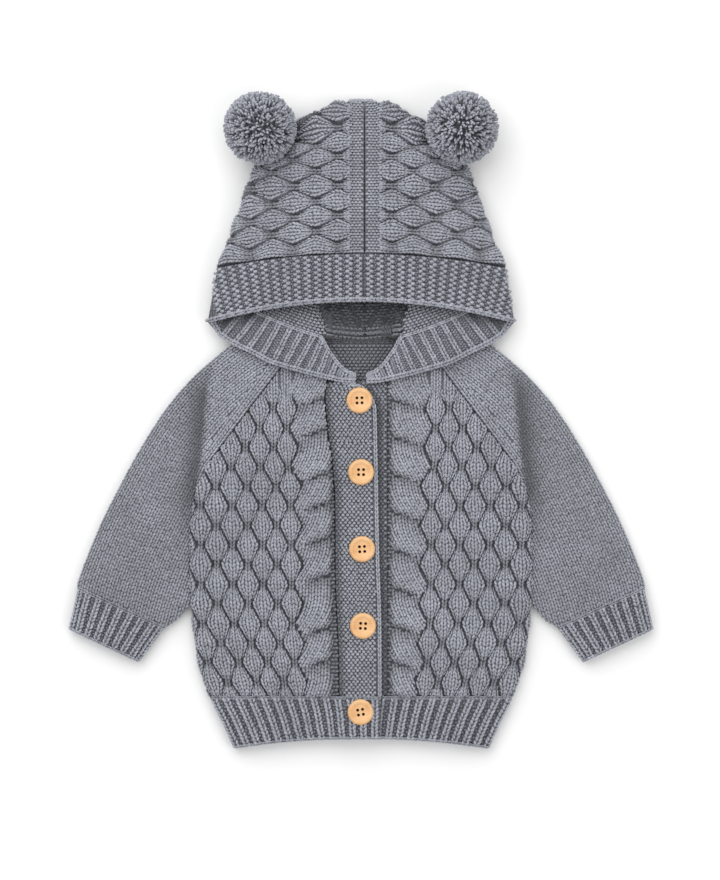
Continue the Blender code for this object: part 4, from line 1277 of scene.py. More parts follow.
def make_hem(side, name):
    point = hem_front_point(side)

    def recess(v, c):
        x, _ = front_cloth(*hem_ends(side, v), hem_guess(v), c, False, no_relief)
        return rib_recess(hem_wave(side, v, x), v, 0.25)

    outer = (even(0, 1, 12), np.concatenate([even(0, 1, 150), even(1, 2, 40)[1:]]))
    inner = ([0, 0.5, 1], [0, 0.1, 0.16, 0.22, 0.3, 0.5, 1, 1.34, 1.67, 2])
    item = shell(name + "_cloth", point, outer, inner, [name], stitched="outside", shade=recess)
    fabric = Fabric(point, hem_front_point(side, True), (0, 1), even(0, 2, 200), 0,
                    start=lambda v: hem_ends(side, v)[0], flip=-side)
    work = Knitting()
    length = fabric.t[-1]

    def clear(t, x):
        """Nothing is knitted under the other hem or the lowest button."""
        button = from_low_button(side * x, hem_y(t / length, x))
        return ((x > 9) | (side < 0)) & (button > BUTTON_RADIUS - 0.4)

    def rib(number):
        return lambda t: hem_rib_x(side, t / length, number)

    ribs = int(HEM_RIBS[side]) + 1
    for k in range(ribs):
        work.wale(fabric, rib(k + 0.5), length, 0.0, RIB_WALE, keep=clear)
    for k in range(ribs):
        work.rows(fabric, rib_bump_rows(length), rib(k), by_turns(1.1), HEM_BUMP, keep=clear)
    border_chains(work, point, even(0.0 if side < 0 else 0.2, 1.85, 200), (0, -0.9, 1.0), side < 0)
    return item, work.make(name + "_stitches")


def make_hems():
    rows = even(0, 1, 14)
    back = shell("hem_back_cloth", hem_back_point, (rows, BACK_COLUMNS), (rows, BACK_COLUMNS), ["hem_back"])
    for side, name in ((-1, "hem_right"), (1, "hem_left")):
        item, stitches = make_hem(side, name)


def garter(work, fabric, x_low, x_high, shade):
    """Garter stitch: rows of bumps that arch and sag by turns, each row half a stitch on."""
    for i, y in enumerate(np.arange(HEM_TOP_Y + 1.2, BAND_TOP_Y - 0.6, GARTER_PITCH)):
        first, last = x_low(y), x_high(y)
        count = max(int(round((last - first) / GARTER_GAUGE)), 1)
        step = (last - first) / count
        x = first + step * (np.arange(count + 1) + 0.5 * (i % 2)) + chance.normal(0, UNEVEN_GAUGE, count + 1)
        # Nothing is knitted under a button, where it would show in the holes
        button = np.min([np.hypot(x - place[0], y - place[1]) for place in BUTTON_PLACES], axis=0)
        ok = (x > first + 0.6) & (x < last - 0.2) & (button > BUTTON_RADIUS - 3)
        bump = GARTER_BUMP._replace(width=0.5 * step, lift=GARTER_BUMP.lift + 0.25 * (i % 2),
                                    dark=shade(x, y)[ok, None])
        work.arcs(fabric, y + chance.normal(0, UNEVEN_ROW, x[ok].shape), x[ok], bump)


def make_top_band():
    rows = even(HEM_TOP_Y, BAND_TOP_Y, 90)
    columns = np.concatenate([even(0, 0.3, 8), even(0.3, 1, 8)[1:]])
    item = shell("band_top_cloth", band_top_point, (rows, columns), (rows, [0, 0.08, 0.16, 0.25, 0.5, 1]),
                 ["band_top"], stitched="outside")
    fabric = Fabric(band_top_point, band_top_point, (HEM_TOP_Y, BAND_TOP_Y), even(0, 1, 60), 0,
                    start=lambda y: -right_border(y) + SEAM_GAP, rows_are_t=True)
    work = Knitting()
    garter(work, fabric, lambda y: -right_border(y) + 1.0, lambda y: top_band_edge(y) - 2.2,
           lambda x, y: 0.55 * (1 - ramp(x + right_border(y), 3, BAND_RAMP + 2)))
    y = np.concatenate([even(HEM_TOP_Y + 0.5, 5, 90), even(5, BAND_TOP_Y, 60)[1:]])
    edge = np.stack([top_band_edge(y) - 1.0, y - 0.8 * ramp(y, 15, 29), TOP_BAND_Z + BAND_CLOTH + 0 * y],
                    axis=-1)
    work.chain(edge, UP, BAND_EDGE)
    stitches = work.make("band_top_stitches")


def make_under_band():
    grid = (even(HEM_TOP_Y, BAND_TOP_Y, 30), even(0, 1, 10))
    item = shell("band_under_cloth", band_under_point, grid, grid, ["band_under"], stitched="outside")
    fabric = Fabric(band_under_point, band_under_point, (HEM_TOP_Y, BAND_TOP_Y), even(0, 1, 40), 0,
                    start=lambda y: UNDER_BAND_X + 0 * y, rows_are_t=True)
    work = Knitting()
    garter(work, fabric, lambda y: top_band_edge(y) - 3, lambda y: left_border(y) - 0.5,
           lambda x, y: 0.65 - 0.45 * ramp(x - top_band_edge(y), 3, 7))
    stitches = work.make("band_under_stitches")


# ---------------------------------------------------------------- sleeves

outer_x = column(SLEEVE, "outer_x")
outer_y = column(SLEEVE, "outer_y")
sleeve_inner_x = column(SLEEVE, "inner_x")
sleeve_inner_y = column(SLEEVE, "inner_y")
LAST_SLEEVE_ROW = len(SLEEVE) - 1


def sleeve_ends(row):
    """Places of a sleeve's inner and outer edge at a row."""
    y = sleeve_inner_y(row)
    x = np.where(row <= BODY_SLEEVE_ROWS, half_width(y) + SLEEVE_GAP, sleeve_inner_x(row))
    return np.stack([x, y], axis=-1), np.stack([outer_x(row), outer_y(row)], axis=-1)


def cuff_ends(v):
    """The same of a cuff, v from 0, its seam, to 1, its edge."""
    start, end = sleeve_ends(np.array(float(LAST_SLEEVE_ROW)))
    low_start = np.array([CUFF_END.inner_x, CUFF_END.inner_y])
    low_end = np.array([CUFF_END.outer_x, CUFF_END.outer_y])
    along = unit(low_start - start) * SEAM_GAP
    v = np.asarray(v)[..., None]
    return lerp(start + along, low_start, v), lerp(end + along, low_end, v)


def tube_section(width, fold, c, inside):
    """Distance along a sleeve row and height, c from 0 on the top edge beside the body, round the
    outer fold at 3, to 6 on the lower edge."""
    middle = SLEEVE_TOP_Z / 2
    wall = SLEEVE_CLOTH if inside else 0.0
    near = np.minimum(lerp(RAGLAN_ROLL, SLEEVE_ROLL, fold), 0.3 * width)
    far = np.minimum(SLEEVE_ROLL, 0.45 * width)
    under = c > 3
    step = np.where(under, 6 - c, c)
    turn = np.clip(step, 0, 1) * HALF_PI
    level, up = np.cos(turn), np.sin(turn)
    edge = np.where(under, lerp(0.0, middle - SEAM_GAP / 2, fold),
                    lerp(SLEEVE_TOP_Z - 0.8, middle + SEAM_GAP / 2, fold))
    near_s = near * (1 - level) + wall * fold * level
    near_z = lerp(edge, np.where(under, 0.0, SLEEVE_TOP_Z), up)
    lift = wall * lerp(1, up, fold)
    near_z = np.where(under, near_z + lift, near_z - lift)
    flat_s = lerp(near, width - far, step - 1)
    flat_z = np.where(under, wall, SLEEVE_TOP_Z - wall)
    turn = np.clip(step - 2, 0, 1) * HALF_PI
    far_s = width - far + (far - wall) * np.sin(turn)
    far_z = (middle - wall) * np.cos(turn)
    far_z = np.where(under, middle - far_z, middle + far_z)
    s = np.where(step <= 1, near_s, np.where(step <= 2, flat_s, far_s))
    z = np.where(step <= 1, near_z, np.where(step <= 2, flat_z, far_z))
    return s, z


def part_fold(start):
    """How far a sleeve is folded at its inner edge: not at the raglan seam, and fully below it."""
    return side_fold(start[..., 1])


def full_fold(start):
    return np.ones(start.shape[:-1])


def sleeve_point(side, ends, fold_at, relief=None):
    def point(row, c, inside=False):
        start, end = ends(row)
        span = end - start
        width = np.linalg.norm(span, axis=-1)
        s, z = tube_section(width, fold_at(start), c, inside)
        place = start + span * (s / width)[..., None]
        if relief is not None and not inside:
            z = z + relief(c, place, s / width)
        return np.stack([side * place[..., 0], place[..., 1], z], axis=-1)

    return point


TroughRow = namedtuple("TroughRow", "y x")
TROUGH = [
    TroughRow(-92, 132),
    TroughRow(-53, 128.5),
    TroughRow(-20, 124),
    TroughRow(0, 122.5),
    TroughRow(25, 120),
    TroughRow(50, 112),
]
TROUGH_DEPTH = 1.6


def trough_line(y):
    return np.interp(y, *zip(*TROUGH))


def trough(x, y):
    """A fold down the sleeve beside the raglan seam and the body, steep on the body's side."""
    away = x - trough_line(y)
    return np.exp(-(away / np.where(away > 0, 11.0, 3.5)) ** 2) * ramp(y, -110, -40) * ramp(y, 45, 15)


def sleeve_folds(c, place, share):
    top = (c > 0.4) & (c < 2.7)
    return np.where(top, -TROUGH_DEPTH * trough(place[..., 0], place[..., 1]), 0.0)


def cuff_wave(share):
    """Ribs at a share of a cuff's width, with one on each edge."""
    return rib_wave(share * CUFF_RIBS + 0.5)


def cuff_relief(c, place, share):
    rib = cuff_wave(share) * ramp(share, 0.0, 0.05) * ramp(share, 1.0, 0.95)
    return np.where(c < 3, RIB_HEIGHT * rib, 0.0)


TUBE_INNER = [0, 0.5, 1, 2, 2.33, 2.67, 3, 3.33, 3.67, 4, 5, 5.5, 6]


def make_sleeve(side, name):
    point = sleeve_point(side, sleeve_ends, part_fold, sleeve_folds)
    bare = sleeve_point(side, sleeve_ends, part_fold)
    columns = [even(0, 1, 6), even(1, 2, 14)[1:], even(2, 4, 16)[1:], [4.5, 5, 5.3, 5.6, 6]]
    outer = (even(0, LAST_SLEEVE_ROW, 110), np.concatenate(columns))
    item = shell(f"sleeve_{name}_cloth", point, outer, (even(0, LAST_SLEEVE_ROW, 40), TUBE_INNER),
                 ["sleeve_" + name], ref=3, stitched="outside")
    fabric = Fabric(point, bare, (0, LAST_SLEEVE_ROW), even(0, 4.2, 260), 3, flip=-side)

    def shade(t, s):
        x, y, z = np.moveaxis(fabric.at(t, s)[0], -1, 0)
        outer = ramp(np.abs(x) - trough_line(y), -5, 1)
        return (0.16 * outer + 0.55 * trough(np.abs(x), y)) * (z > SLEEVE_TOP_Z / 2)

    work = Knitting(shade)
    first, last = fabric.t[0] + 0.4, fabric.t[-1]
    raglan_end = np.interp(4.6, fabric.row, fabric.t)

    def keep(t, s):
        """Clear of the wales along the raglan seam."""
        return s > fabric.range_at(t)[0] + np.where(t < raglan_end, RAGLAN_WALES * RAGLAN_PITCH + 1.3, 0.6)

    # s is negative on top: columns run from the body edge at 0 to the outer fold at 3
    for k in range(-2, 28):
        work.wale(fabric, lambda t: -SLEEVE_WALE * (k + 0.5) + 0 * t, last, first, SLEEVE_WALE, keep=keep)
    for k in range(RAGLAN_WALES):
        work.wale(fabric, lambda t: fabric.range_at(t)[0] + 0.9 + RAGLAN_PITCH * (k + 0.5), raglan_end + 6,
                  first, RAGLAN_WALE, keep=lambda t, s: t < raglan_end)
    stitches = work.make(f"sleeve_{name}_stitches")


def make_cuff(side, name):
    point = sleeve_point(side, cuff_ends, full_fold, cuff_relief)
    bare = sleeve_point(side, cuff_ends, full_fold)

    def recess(v, c):
        start, end = cuff_ends(v)
        width = np.linalg.norm(end - start, axis=-1)
        wave = cuff_wave(tube_section(width, full_fold(start), c, False)[0] / width)
        return rib_recess(wave, v, 0.2) * (c < 3)

    columns = [even(0, 1, 30), even(1, 2, 60)[1:], even(2, 3, 30)[1:], [3.5, 4, 5, 5.6, 6]]
    item = shell(f"cuff_{name}_cloth", point, (even(0, 1, 10), np.concatenate(columns)),
                 ([0, 1], TUBE_INNER), ["cuff_" + name], ref=3, stitched="outside", shade=recess)
    fabric = Fabric(point, bare, (0, 1), even(0, 4.2, 300), 0, flip=-side)
    length = fabric.t[-1]
    # How far round the cloth a share of the width is, at the seam and at the edge
    stops = np.linspace(0, 3, 200)
    tables = []
    for v in (0.0, 1.0):
        places = bare(np.full(len(stops), v), stops)
        start, end = cuff_ends(v)
        shares = np.linalg.norm(places[:, :2] * (side, 1) - start, axis=1) / np.linalg.norm(end - start)
        tables.append((shares, lengths_along(places)))

    def rib(number):
        """Line of a rib, kept off the two edges."""
        share = np.clip(number / CUFF_RIBS, 0.035, 0.965)
        first, last = (np.interp(share, *table) for table in tables)
        return lambda t: lerp(first, last, t / length)

    work = Knitting()
    for k in range(CUFF_RIBS):
        work.wale(fabric, rib(k), length, 0.0, CUFF_WALE)
        work.rows(fabric, rib_bump_rows(length), rib(k + 0.5), by_turns(0.9), CUFF_BUMP)
    work.wale(fabric, rib(CUFF_RIBS), length, 0.0, CUFF_WALE)
    border_chains(work, point, even(0.2, 2.9, 200), (side * 0.45, -0.8, 1.0), side > 0)
    stitches = work.make(f"cuff_{name}_stitches")


# ---------------------------------------------------------------- hood

LAST_HOOD_ROW = len(HOOD) - 1
hood_columns = {name: column(HOOD, name) for name in HoodRow._fields}
collar_roll = column(COLLAR_ROLL, "x", by="y")
lapel_columns = {name: column(LAPEL, name) for name in LapelRow._fields}
BACK_SEAM_LINE = [(CROWN_SEAM_X, HOOD[0].under_y)] + [(row.seam_x, row.seam_y) for row in LAPEL[6::-1]]
lapel_seam = curve([x for x, y in BACK_SEAM_LINE], [y for x, y in BACK_SEAM_LINE])


def lapel_lift(x, y):
    """Height of the lapels' underside, which comes down to the shoulders and droops at the side."""
    return LAPEL_Z * (1 - ramp(y, *LAPEL_LIFT_Y)) * (1 - LAPEL_DROOP * ramp(x, *LAPEL_DROOP_X))


def collar_lift(x, y):
    """The same of the hood behind the lapels, which drops to the floor inside the collar's roll."""
    return lapel_lift(x, y) * smooth((x - collar_roll(y)) / COLLAR_RAMP + 1)


def wall_rise(height, x, y):
    """Upright thickness of a wall that follows a sloping height(x, y)."""
    step = 0.5
    slope_x = (height(x + step, y) - height(x - step, y)) / (2 * step)
    slope_y = (height(x, y + step) - height(x, y - step)) / (2 * step)
    return HOOD_CLOTH * np.sqrt(1 + slope_x ** 2 + slope_y ** 2)


def slope_normal(first, second, row):
    """Normal, in their plane, of the line that two columns of the hood make."""
    first, second = hood_columns[first], hood_columns[second]
    step = 0.05
    low, high = np.maximum(row - step, 0), np.minimum(row + step, LAST_HOOD_ROW)
    along = unit(np.stack([first(high) - first(low), second(high) - second(low)], axis=-1))
    return along[..., 1], -along[..., 0]


def arch(c):
    """Run out and rise, 0 to 1, of the hood's section."""
    angle = np.clip(c, 0, 1) * HALF_PI
    power = 2 / HOOD_ARCH
    return np.sin(angle) ** power, np.maximum(np.cos(angle), 0.0) ** power


# Share of a typical section's length at each column
ARCH_STOPS = np.linspace(0, 1, 61)
ARCH_LENGTHS = lengths_along(np.stack(arch(ARCH_STOPS), axis=1) * (110.0, 16.0))
ARCH_SHARES = ARCH_LENGTHS / ARCH_LENGTHS[-1]


def girth(c):
    """Share of the section's length at a column. girth_stop turns it back."""
    return np.interp(c, ARCH_STOPS, ARCH_SHARES)


def girth_stop(share):
    return np.interp(share, ARCH_SHARES, ARCH_STOPS)


# Columns over the top of the hood, evenly far apart
TOP_COLUMNS = girth_stop(even(0, 1, 200))


def hood_base(side, row, c, inside=False):
    """Hood half without relief: c from 0 on the crown seam to 1 at the side fold, 2 where the
    fold ends below, and 3 on the seam behind."""
    at = HoodRow(*(hood_columns[name](row) for name in HoodRow._fields))
    top_y, top_z = at.top_y, at.top_z
    edge_x, edge_y = at.side_x, at.side_y
    if inside:
        ny, nz = slope_normal("top_y", "top_z", row)
        top_y, top_z = top_y + HOOD_CLOTH * ny, top_z + HOOD_CLOTH * nz
        nx, ny = slope_normal("side_x", "side_y", row)
        edge_x, edge_y = edge_x - HOOD_CLOTH * nx, edge_y - HOOD_CLOTH * ny * smooth(row)
    middle = side * CROWN_SEAM_X + SEAM_GAP / 2
    out, up = arch(c)
    top = np.stack([lerp(middle, edge_x, out), lerp(top_y, edge_y, out * out),
                    lerp(at.side_z, top_z, up)], axis=-1)
    roll = np.minimum(HOOD_ROLL, 0.8 * (at.side_x - middle))
    turn = np.clip(c - 1, 0, 1) * HALF_PI
    level, down = np.cos(turn), np.sin(turn)
    level = np.where(c < 2, level, 0.0)
    x = lerp(at.side_x - roll * (1 - level), middle, np.maximum(c - 2, 0))
    out = np.maximum((x - middle) / (at.side_x - middle), 0.0)
    line = lerp(at.under_y, at.side_y, out ** 2.2)
    start = lerp(HOOD[0].under_y, HOOD[0].side_y, out ** 2.2)
    y = line + (1 - smooth(row / 1.5)) * (lapel_seam(x) + SEAM_GAP - start)
    low = at.under_z + collar_lift(x, y)
    x = x + (edge_x - at.side_x) * level
    y = y + (edge_y - at.side_y) * level
    if inside:
        thick = np.where(row < 4, wall_rise(collar_lift, x, y), HOOD_CLOTH)
        _, nz = slope_normal("under_y", "under_z", row)
        low = np.maximum(low + thick, at.under_z - HOOD_CLOTH * nz)
    lower = np.stack([x, y, lerp(at.side_z, low, down)], axis=-1)
    return np.where((c <= 1)[..., None], top, lower)


HOOD_CHAINS = range(-5, 5)


def hood_phase(u, k):
    """Place along hood chain k's bubbles, at u round the hood: 0 in the middle of one."""
    return ((u - FIRST_HOOD_BUBBLE[0]) / (HOOD_BUBBLE_LENGTH / 2) + k % 2 + 1) % 2 - 1


def hood_border(u, k):
    """Zigzag border between hood chains k and k + 1."""
    wave = FIRST_HOOD_BUBBLE[1] + HOOD_BUBBLE_HALF * (k + 0.5 + ZIGZAG * zigzag(hood_phase(u, k)))
    return wave if k >= HOOD_CHAINS[0] else np.full(np.shape(u), HOOD[0].top_y)


def hood_span(u, k):
    low, high = hood_border(u, k - 1), hood_border(u, k)
    return (low + high) / 2, (high - low) / 2


def hood_chain_rise(u, q, k):
    """Height of hood chain k. A bubble's lower border is deep and its upper one soft."""
    middle, half = hood_span(u, k)
    a = (q - middle) / half
    full = fullness(hood_phase(u, k))
    return np.where(np.abs(a) < 1, dome(a, full, np.where(a < 0, full, 1 - full)), 0.0)


def hood_wales(u, k):
    """Middle and half width of the wales of hood chain k, between the gaps at its borders."""
    full = fullness(hood_phase(u, k))
    return trimmed(hood_span(u, k), full, 1 - full)


def hood_relief(u, q):
    """Relief at u round the hood, in the row that meets the crown at y = q."""
    chains = np.zeros(np.broadcast(u, q).shape)
    for k in HOOD_CHAINS:
        chains = np.maximum(chains, hood_chain_rise(u, q, k))
    return BUBBLE_HEIGHT * chains * ramp(u, MOSS_STRIP - 2.5, MOSS_STRIP + 1.5)


def hood_shade(side):
    def shade(row, c):
        u = hood_lengths(side, row, np.minimum(c, 1))
        height = hood_relief(u, hood_columns["top_y"](row))
        return 0.65 * (1 - ramp(height, 0.6, 2.6)) * ramp(u, MOSS_STRIP, MOSS_STRIP + 3) * (c <= 1.2)

    return shade


def hood_lengths(side, row, c):
    """Distance round the hood from the crown seam."""
    rise = hood_columns["top_z"](row) - hood_columns["side_z"](row)
    return girth(c) * (hood_columns["side_x"](row) - side * CROWN_SEAM_X + 0.6 * rise)


def hood_normal(side, row, c):
    step = 0.02
    left = hood_base(side, row, np.maximum(c - step, 0))
    right = hood_base(side, row, np.minimum(c + step, 1))
    low = hood_base(side, np.maximum(row - step, 0), c)
    high = hood_base(side, np.minimum(row + step, LAST_HOOD_ROW), c)
    return unit(np.cross(right - left, high - low))


def hood_point(side, bare=False):
    def point(row, c, inside=False):
        place = hood_base(side, row, c, inside)
        # The edge swells out under the pompom
        toward = np.array(POMPOM_PLACE) - place[..., :2]
        reach = np.linalg.norm(toward, axis=-1)
        swell = POMPOM_SWELL * ramp(c, 0.8, 1.0) * ramp(c, 2.0, 1.2) * ramp(reach, 44, 33)
        place[..., :2] += toward * (swell / reach)[..., None]
        if not inside and not bare:
            on_top = np.minimum(c, 1)
            from_pompom = np.hypot(place[..., 0] - POMPOM_PLACE[0], place[..., 1] - POMPOM_PLACE[1])
            clear = ramp(from_pompom - POMPOM_RADIUS, -6, -1) * ramp(row, LAST_HOOD_ROW, LAST_HOOD_ROW - 0.8)
            height = hood_relief(hood_lengths(side, row, on_top), hood_columns["top_y"](row)) * clear
            height = height * lerp(1, SIDE_RELIEF, ramp(c, 0.75, 1)) * (1 - ramp(c, 1, 1.5))
            place = place + height[..., None] * hood_normal(side, row, on_top)
        place[..., 0] *= side
        return place

    return point


def band_base(row, c, inside=False):
    """Right-hand half of the hood band, row from 0, its free edge, to 1, its seam."""
    wall = HOOD_CLOTH if inside else 0.0
    edge_x = lerp(BAND_FREE.side_x, HOOD[0].side_x, row)
    edge_y = lerp(BAND_FREE.side_y, HOOD[0].side_y - SEAM_GAP, row)
    edge_z = lerp(BAND_FREE.side_z, HOOD[0].side_z, row)
    out, up = arch(c)
    top_y = lerp(BAND_FREE.top_y, HOOD[0].top_y - SEAM_GAP, row)
    top_z = lerp(BAND_FREE.top_z, HOOD[0].top_z, row) - wall
    top = np.stack([(edge_x - wall) * out, lerp(top_y, edge_y, out ** 2), lerp(edge_z, top_z, up)], axis=-1)
    at = np.maximum(c - 1, 0) * (len(LAPEL) - 1)
    seam_x = lapel_columns["seam_x"](at)
    seam_y = np.where(at <= 6, lapel_seam(seam_x), lapel_columns["seam_y"](at)) - SEAM_GAP
    x = lerp(lapel_columns["free_x"](at), seam_x, row)
    y = lerp(lapel_columns["free_y"](at), seam_y, row)
    level = np.clip(1 - (edge_x - x) / HOOD_ROLL, 0.0, 1.0)
    down = np.sqrt(1 - level * level)
    low = lapel_lift(x, y)
    if inside:
        low = low + wall_rise(lapel_lift, x, y)
        x = x - wall * level
    lapel = np.stack([x, y, lerp(edge_z, low, down)], axis=-1)
    return np.where((c <= 1)[..., None], top, lapel)


def forehead_rib(share, row, side):
    """Rib number at a share of the girth, counted from the seam, which is a little to one side of
    the middle. Ribs stand square to the free edge, so they lean."""
    rib = share
    for _ in range(3):
        rib = share - FOREHEAD_LEAN * rib ** 1.5 * (row - 0.5)
    return rib * FOREHEAD_RIBS - side * FOREHEAD_SEAM


def band_ribs(row, c, inside):
    """Ribs of the forehead on the outside and of the lapels on the inside, as heights from 0 to 1."""
    side = np.where(c < 0, -1, 1)
    c = np.abs(c)
    if inside:
        at = (c - 1) * LAPEL_RIBS - LAPEL_LEAN * (row - 0.5)
        return rib_wave(at) * ramp(c, 1.05, 1.15) * ramp(c, LAPEL_PLAIN + 0.04, LAPEL_PLAIN - 0.04)
    return rib_wave(forehead_rib(girth(c), row, side)) * ramp(c, 1, 0.9)


def band_point(row, c, inside=False, bare=False):
    place = band_base(row, np.abs(c), inside)
    if not bare:
        place[..., 2] += RIB_HEIGHT * band_ribs(row, c, inside)
    place[..., 0] = np.copysign(place[..., 0], c)
    return place


def line_hood(side, name, point):
    """The wrong side of the knitting inside the hood: a garter strip at the neck seam, the backs of
    cables above it and plain rows on the part folded up at the side. The strip and, more so, the cables
    are painted in shade."""
    back = partial(point, inside=True)
    fabric = Fabric(back, back, (0, 1.5), even(2, 3, 160), 3, flip=-side)
    end = fabric.t[-1] - 1
    work = Knitting()
    work.rows(fabric, np.arange(1.0, 9.0, 2.0), -1.5 - 3.4 * np.arange(11), (0, 1.7), MOUTH_BUMP,
              MOUTH_BUMP._replace(bow=-MOUTH_BUMP.bow))
    for i, t in enumerate(np.arange(10.5, end, 2.3)):
        s = -1.0 - 3.3 * np.arange(11) - (i % 2) * 1.6
        # Raised bumps get less painted shade than flat ones, as if lit
        raised = np.sin(math.pi * s / BACK_CABLE + 0.12 * t) ** 2 >= 0.45
        work.arcs(fabric, t, s, FLAT_CABLE_BUMP, ~raised)
        work.arcs(fabric, t, s, RAISED_CABLE_BUMP, raised)
    work.rows(fabric, np.arange(0.8, end, 2.4), -38.0 - 3.3 * np.arange(18), (0, -1.6), FOLD_BUMP)
    return work.make(f"hood_{name}_lining_stitches")


def lay_hood_bubbles(work, fabric, plan):
    """Wales round the hood. plan is the y, seen from above, of each row of the fabric at the crown."""
    longest = fabric.high.max()
    for k in HOOD_CHAINS:
        for j in (-1, 0, 1):
            def line(u):
                middle, half = hood_wales(u, k)
                return np.interp(middle + j * 2 * half / 3, plan, fabric.t)

            def keep(u, t):
                return ((j == 0) | (hood_span(u, k)[1] > NARROW)) & (u > MOSS_STRIP - 0.5)

            work.wale(fabric, line, MOSS_STRIP - 1, longest, lambda u: wale_width(hood_wales(u, k)[1], j),
                      keep=keep, turned=True)


def make_hood_half(side, name):
    point = hood_point(side)
    lower = [1.15, 1.33, 1.5, 1.67, 1.85, 2, 2.15, 2.3, 2.45, 2.6, 2.68, 2.76, 2.88, 3]
    outer = (even(0, LAST_HOOD_ROW, 110), np.concatenate([girth_stop(even(0, 1, 84)), lower]))
    inner = (even(0, LAST_HOOD_ROW, 24), np.concatenate([even(0, 1, 12), lower]))
    item = shell(f"hood_{name}_cloth", point, outer, inner, ["hood_" + name], stitched="both",
                 shade=hood_shade(side))
    fabric = Fabric(point, hood_point(side, True), (0, LAST_HOOD_ROW),
                    np.concatenate([TOP_COLUMNS, even(1, 1.3, 20)[1:]]), 0, flip=side)
    plan = hood_columns["top_y"](fabric.row)

    def shade(t, u):
        height = hood_relief(u, np.interp(t, fabric.t, plan))
        return 0.42 * (1 - ramp(height, 0.7, 2.8)) * ramp(u, MOSS_STRIP - 1, MOSS_STRIP + 3)

    work = Knitting(shade)
    lay_hood_bubbles(work, fabric, plan)
    # Purl bumps beside the crown seam
    work.rows(fabric, np.arange(1.0, fabric.t[-1] - 0.5, 2.2), 2.0 + 2.9 * np.arange(4), (0, 1.5), CROWN_BUMP)
    # Stitches drawn together across the crown's end
    end = HOOD[-1]
    x = np.linspace(side * end.side_x, CROWN_SEAM_X, 20)
    work.chain(np.stack([x, 0 * x + end.side_y, 0 * x + end.side_z], axis=1), (0, 1.0, 0.3), CROWN_END)
    stitches = work.make(f"hood_{name}_stitches")
    lining = line_hood(side, name, point)
    return item


def turned_round(point, sign):
    """The same surface with its columns counted the other way where sign is -1."""
    return lambda r, c: point(r, sign * c)


def knit_forehead():
    work = Knitting()
    bare = partial(band_point, bare=True)
    fabrics = [Fabric(turned_round(band_point, sign), turned_round(bare, sign), (0, 1), TOP_COLUMNS, 0,
                      flip=sign) for sign in (1, -1)]
    ahead = fabrics[0]
    end = ahead.t[-1]

    def rib_line(t, number, side):
        """Distance of a rib from the middle: what forehead_rib undoes."""
        share = (number + side * FOREHEAD_SEAM) / FOREHEAD_RIBS
        row = np.interp(t, ahead.t, ahead.row)
        lean = FOREHEAD_LEAN * max(share, 0) ** 1.5 * (row - 0.5)
        return np.interp(t, ahead.t, ahead.high) * (share + lean)

    for fabric, side, first in zip(fabrics, (1, -1), (-1, 0)):
        for k in range(first, FOREHEAD_RIBS):
            for i, t in enumerate(np.arange(1.1, end - 0.8, FOREHEAD_COURSE / 2)):
                bead = rib_line(t, k + 0.5, side) + by_turns(2.1)[i % 2]
                work.arcs(fabric, t, bead, FOREHEAD_BEAD)
                if k >= 0:
                    dot = rib_line(t, k + 1, side) + by_turns(1.1)[i % 2]
                    work.arcs(fabric, t, dot, FOREHEAD_DOT)
    for fabric in fabrics:
        work.arcs(fabric, end - 0.5, np.arange(1.6, ahead.high[-1], 3.2), FOREHEAD_SEAM_BUMP)
    c = np.concatenate([-TOP_COLUMNS[:0:-1], TOP_COLUMNS])
    work.chain(band_point(0 * c + 0.03, c), (0, -0.6, 1.0), FOREHEAD_EDGE)
    return work.make("hood_band_stitches")


def knit_lapel(sign, name):
    bare = partial(band_point, inside=True, bare=True)
    face = partial(band_point, inside=True)
    fabric = Fabric(turned_round(face, sign), turned_round(bare, sign), (0, 1), even(1, 2, 260), 1,
                    flip=-sign)

    def shade(t, s):
        """The lapel is in the shade of the forehead band, most of all at the side fold."""
        x, y, _ = np.moveaxis(fabric.at(t, s)[0], -1, 0)
        edge = lerp(BAND_FREE.top_y, BAND_FREE.side_y, (np.abs(x) / BAND_FREE.side_x) ** 2)
        return 0.62 * ramp(edge - y, 13, 1) * ramp(np.abs(x), 55, 85)

    work = Knitting(shade)
    stops = np.linspace(1, 2, 400)
    rows = (0.0, 0.25, 0.5, 0.75, 1.0)
    tables = [lengths_along(bare(np.full(len(stops), row), stops)) for row in rows]
    end = fabric.t[-1]

    def line(t, number):
        """Distance of a rib from the side fold, at t across the band."""
        found = [np.interp(1 + (number + LAPEL_LEAN * (row - 0.5)) / LAPEL_RIBS, stops, table)
                 for row, table in zip(rows, tables)]
        return np.interp(t / end, rows, found)

    for k in range(LAPEL_RIBS):
        if k + 0.5 < (LAPEL_PLAIN - 1) * LAPEL_RIBS:
            work.wale(fabric, lambda t: line(t, k + 0.5), 0.3, end - 0.3, LAPEL_WALE, LAPEL_COURSE, fat=1.12)
            work.rows(fabric, np.arange(1.2, end - 0.8, 1.5), lambda t: line(t, k), by_turns(1.9), LAPEL_BUMP)
        else:
            for i, t in enumerate(np.arange(1.2, end - 0.8, 2.2)):
                x = np.array([line(t, k + part + 0.17 * (i % 2)) for part in (0.0, 0.33, 0.66)])
                work.arcs(fabric, t, x, LAPEL_END_BUMP)
    # Cast-off edge along the free edge, and the finer seam
    c = even(1.0, 2, 200)
    for row, normal, edge in ((0.03, (0, -0.5, 1), LAPEL_EDGE), (0.97, (0, 0.3, 1), LAPEL_SEAM)):
        work.chain(face(0 * c + row, sign * c), normal, edge, reverse=sign > 0)
    return work.make(f"lapel_{name}_stitches")


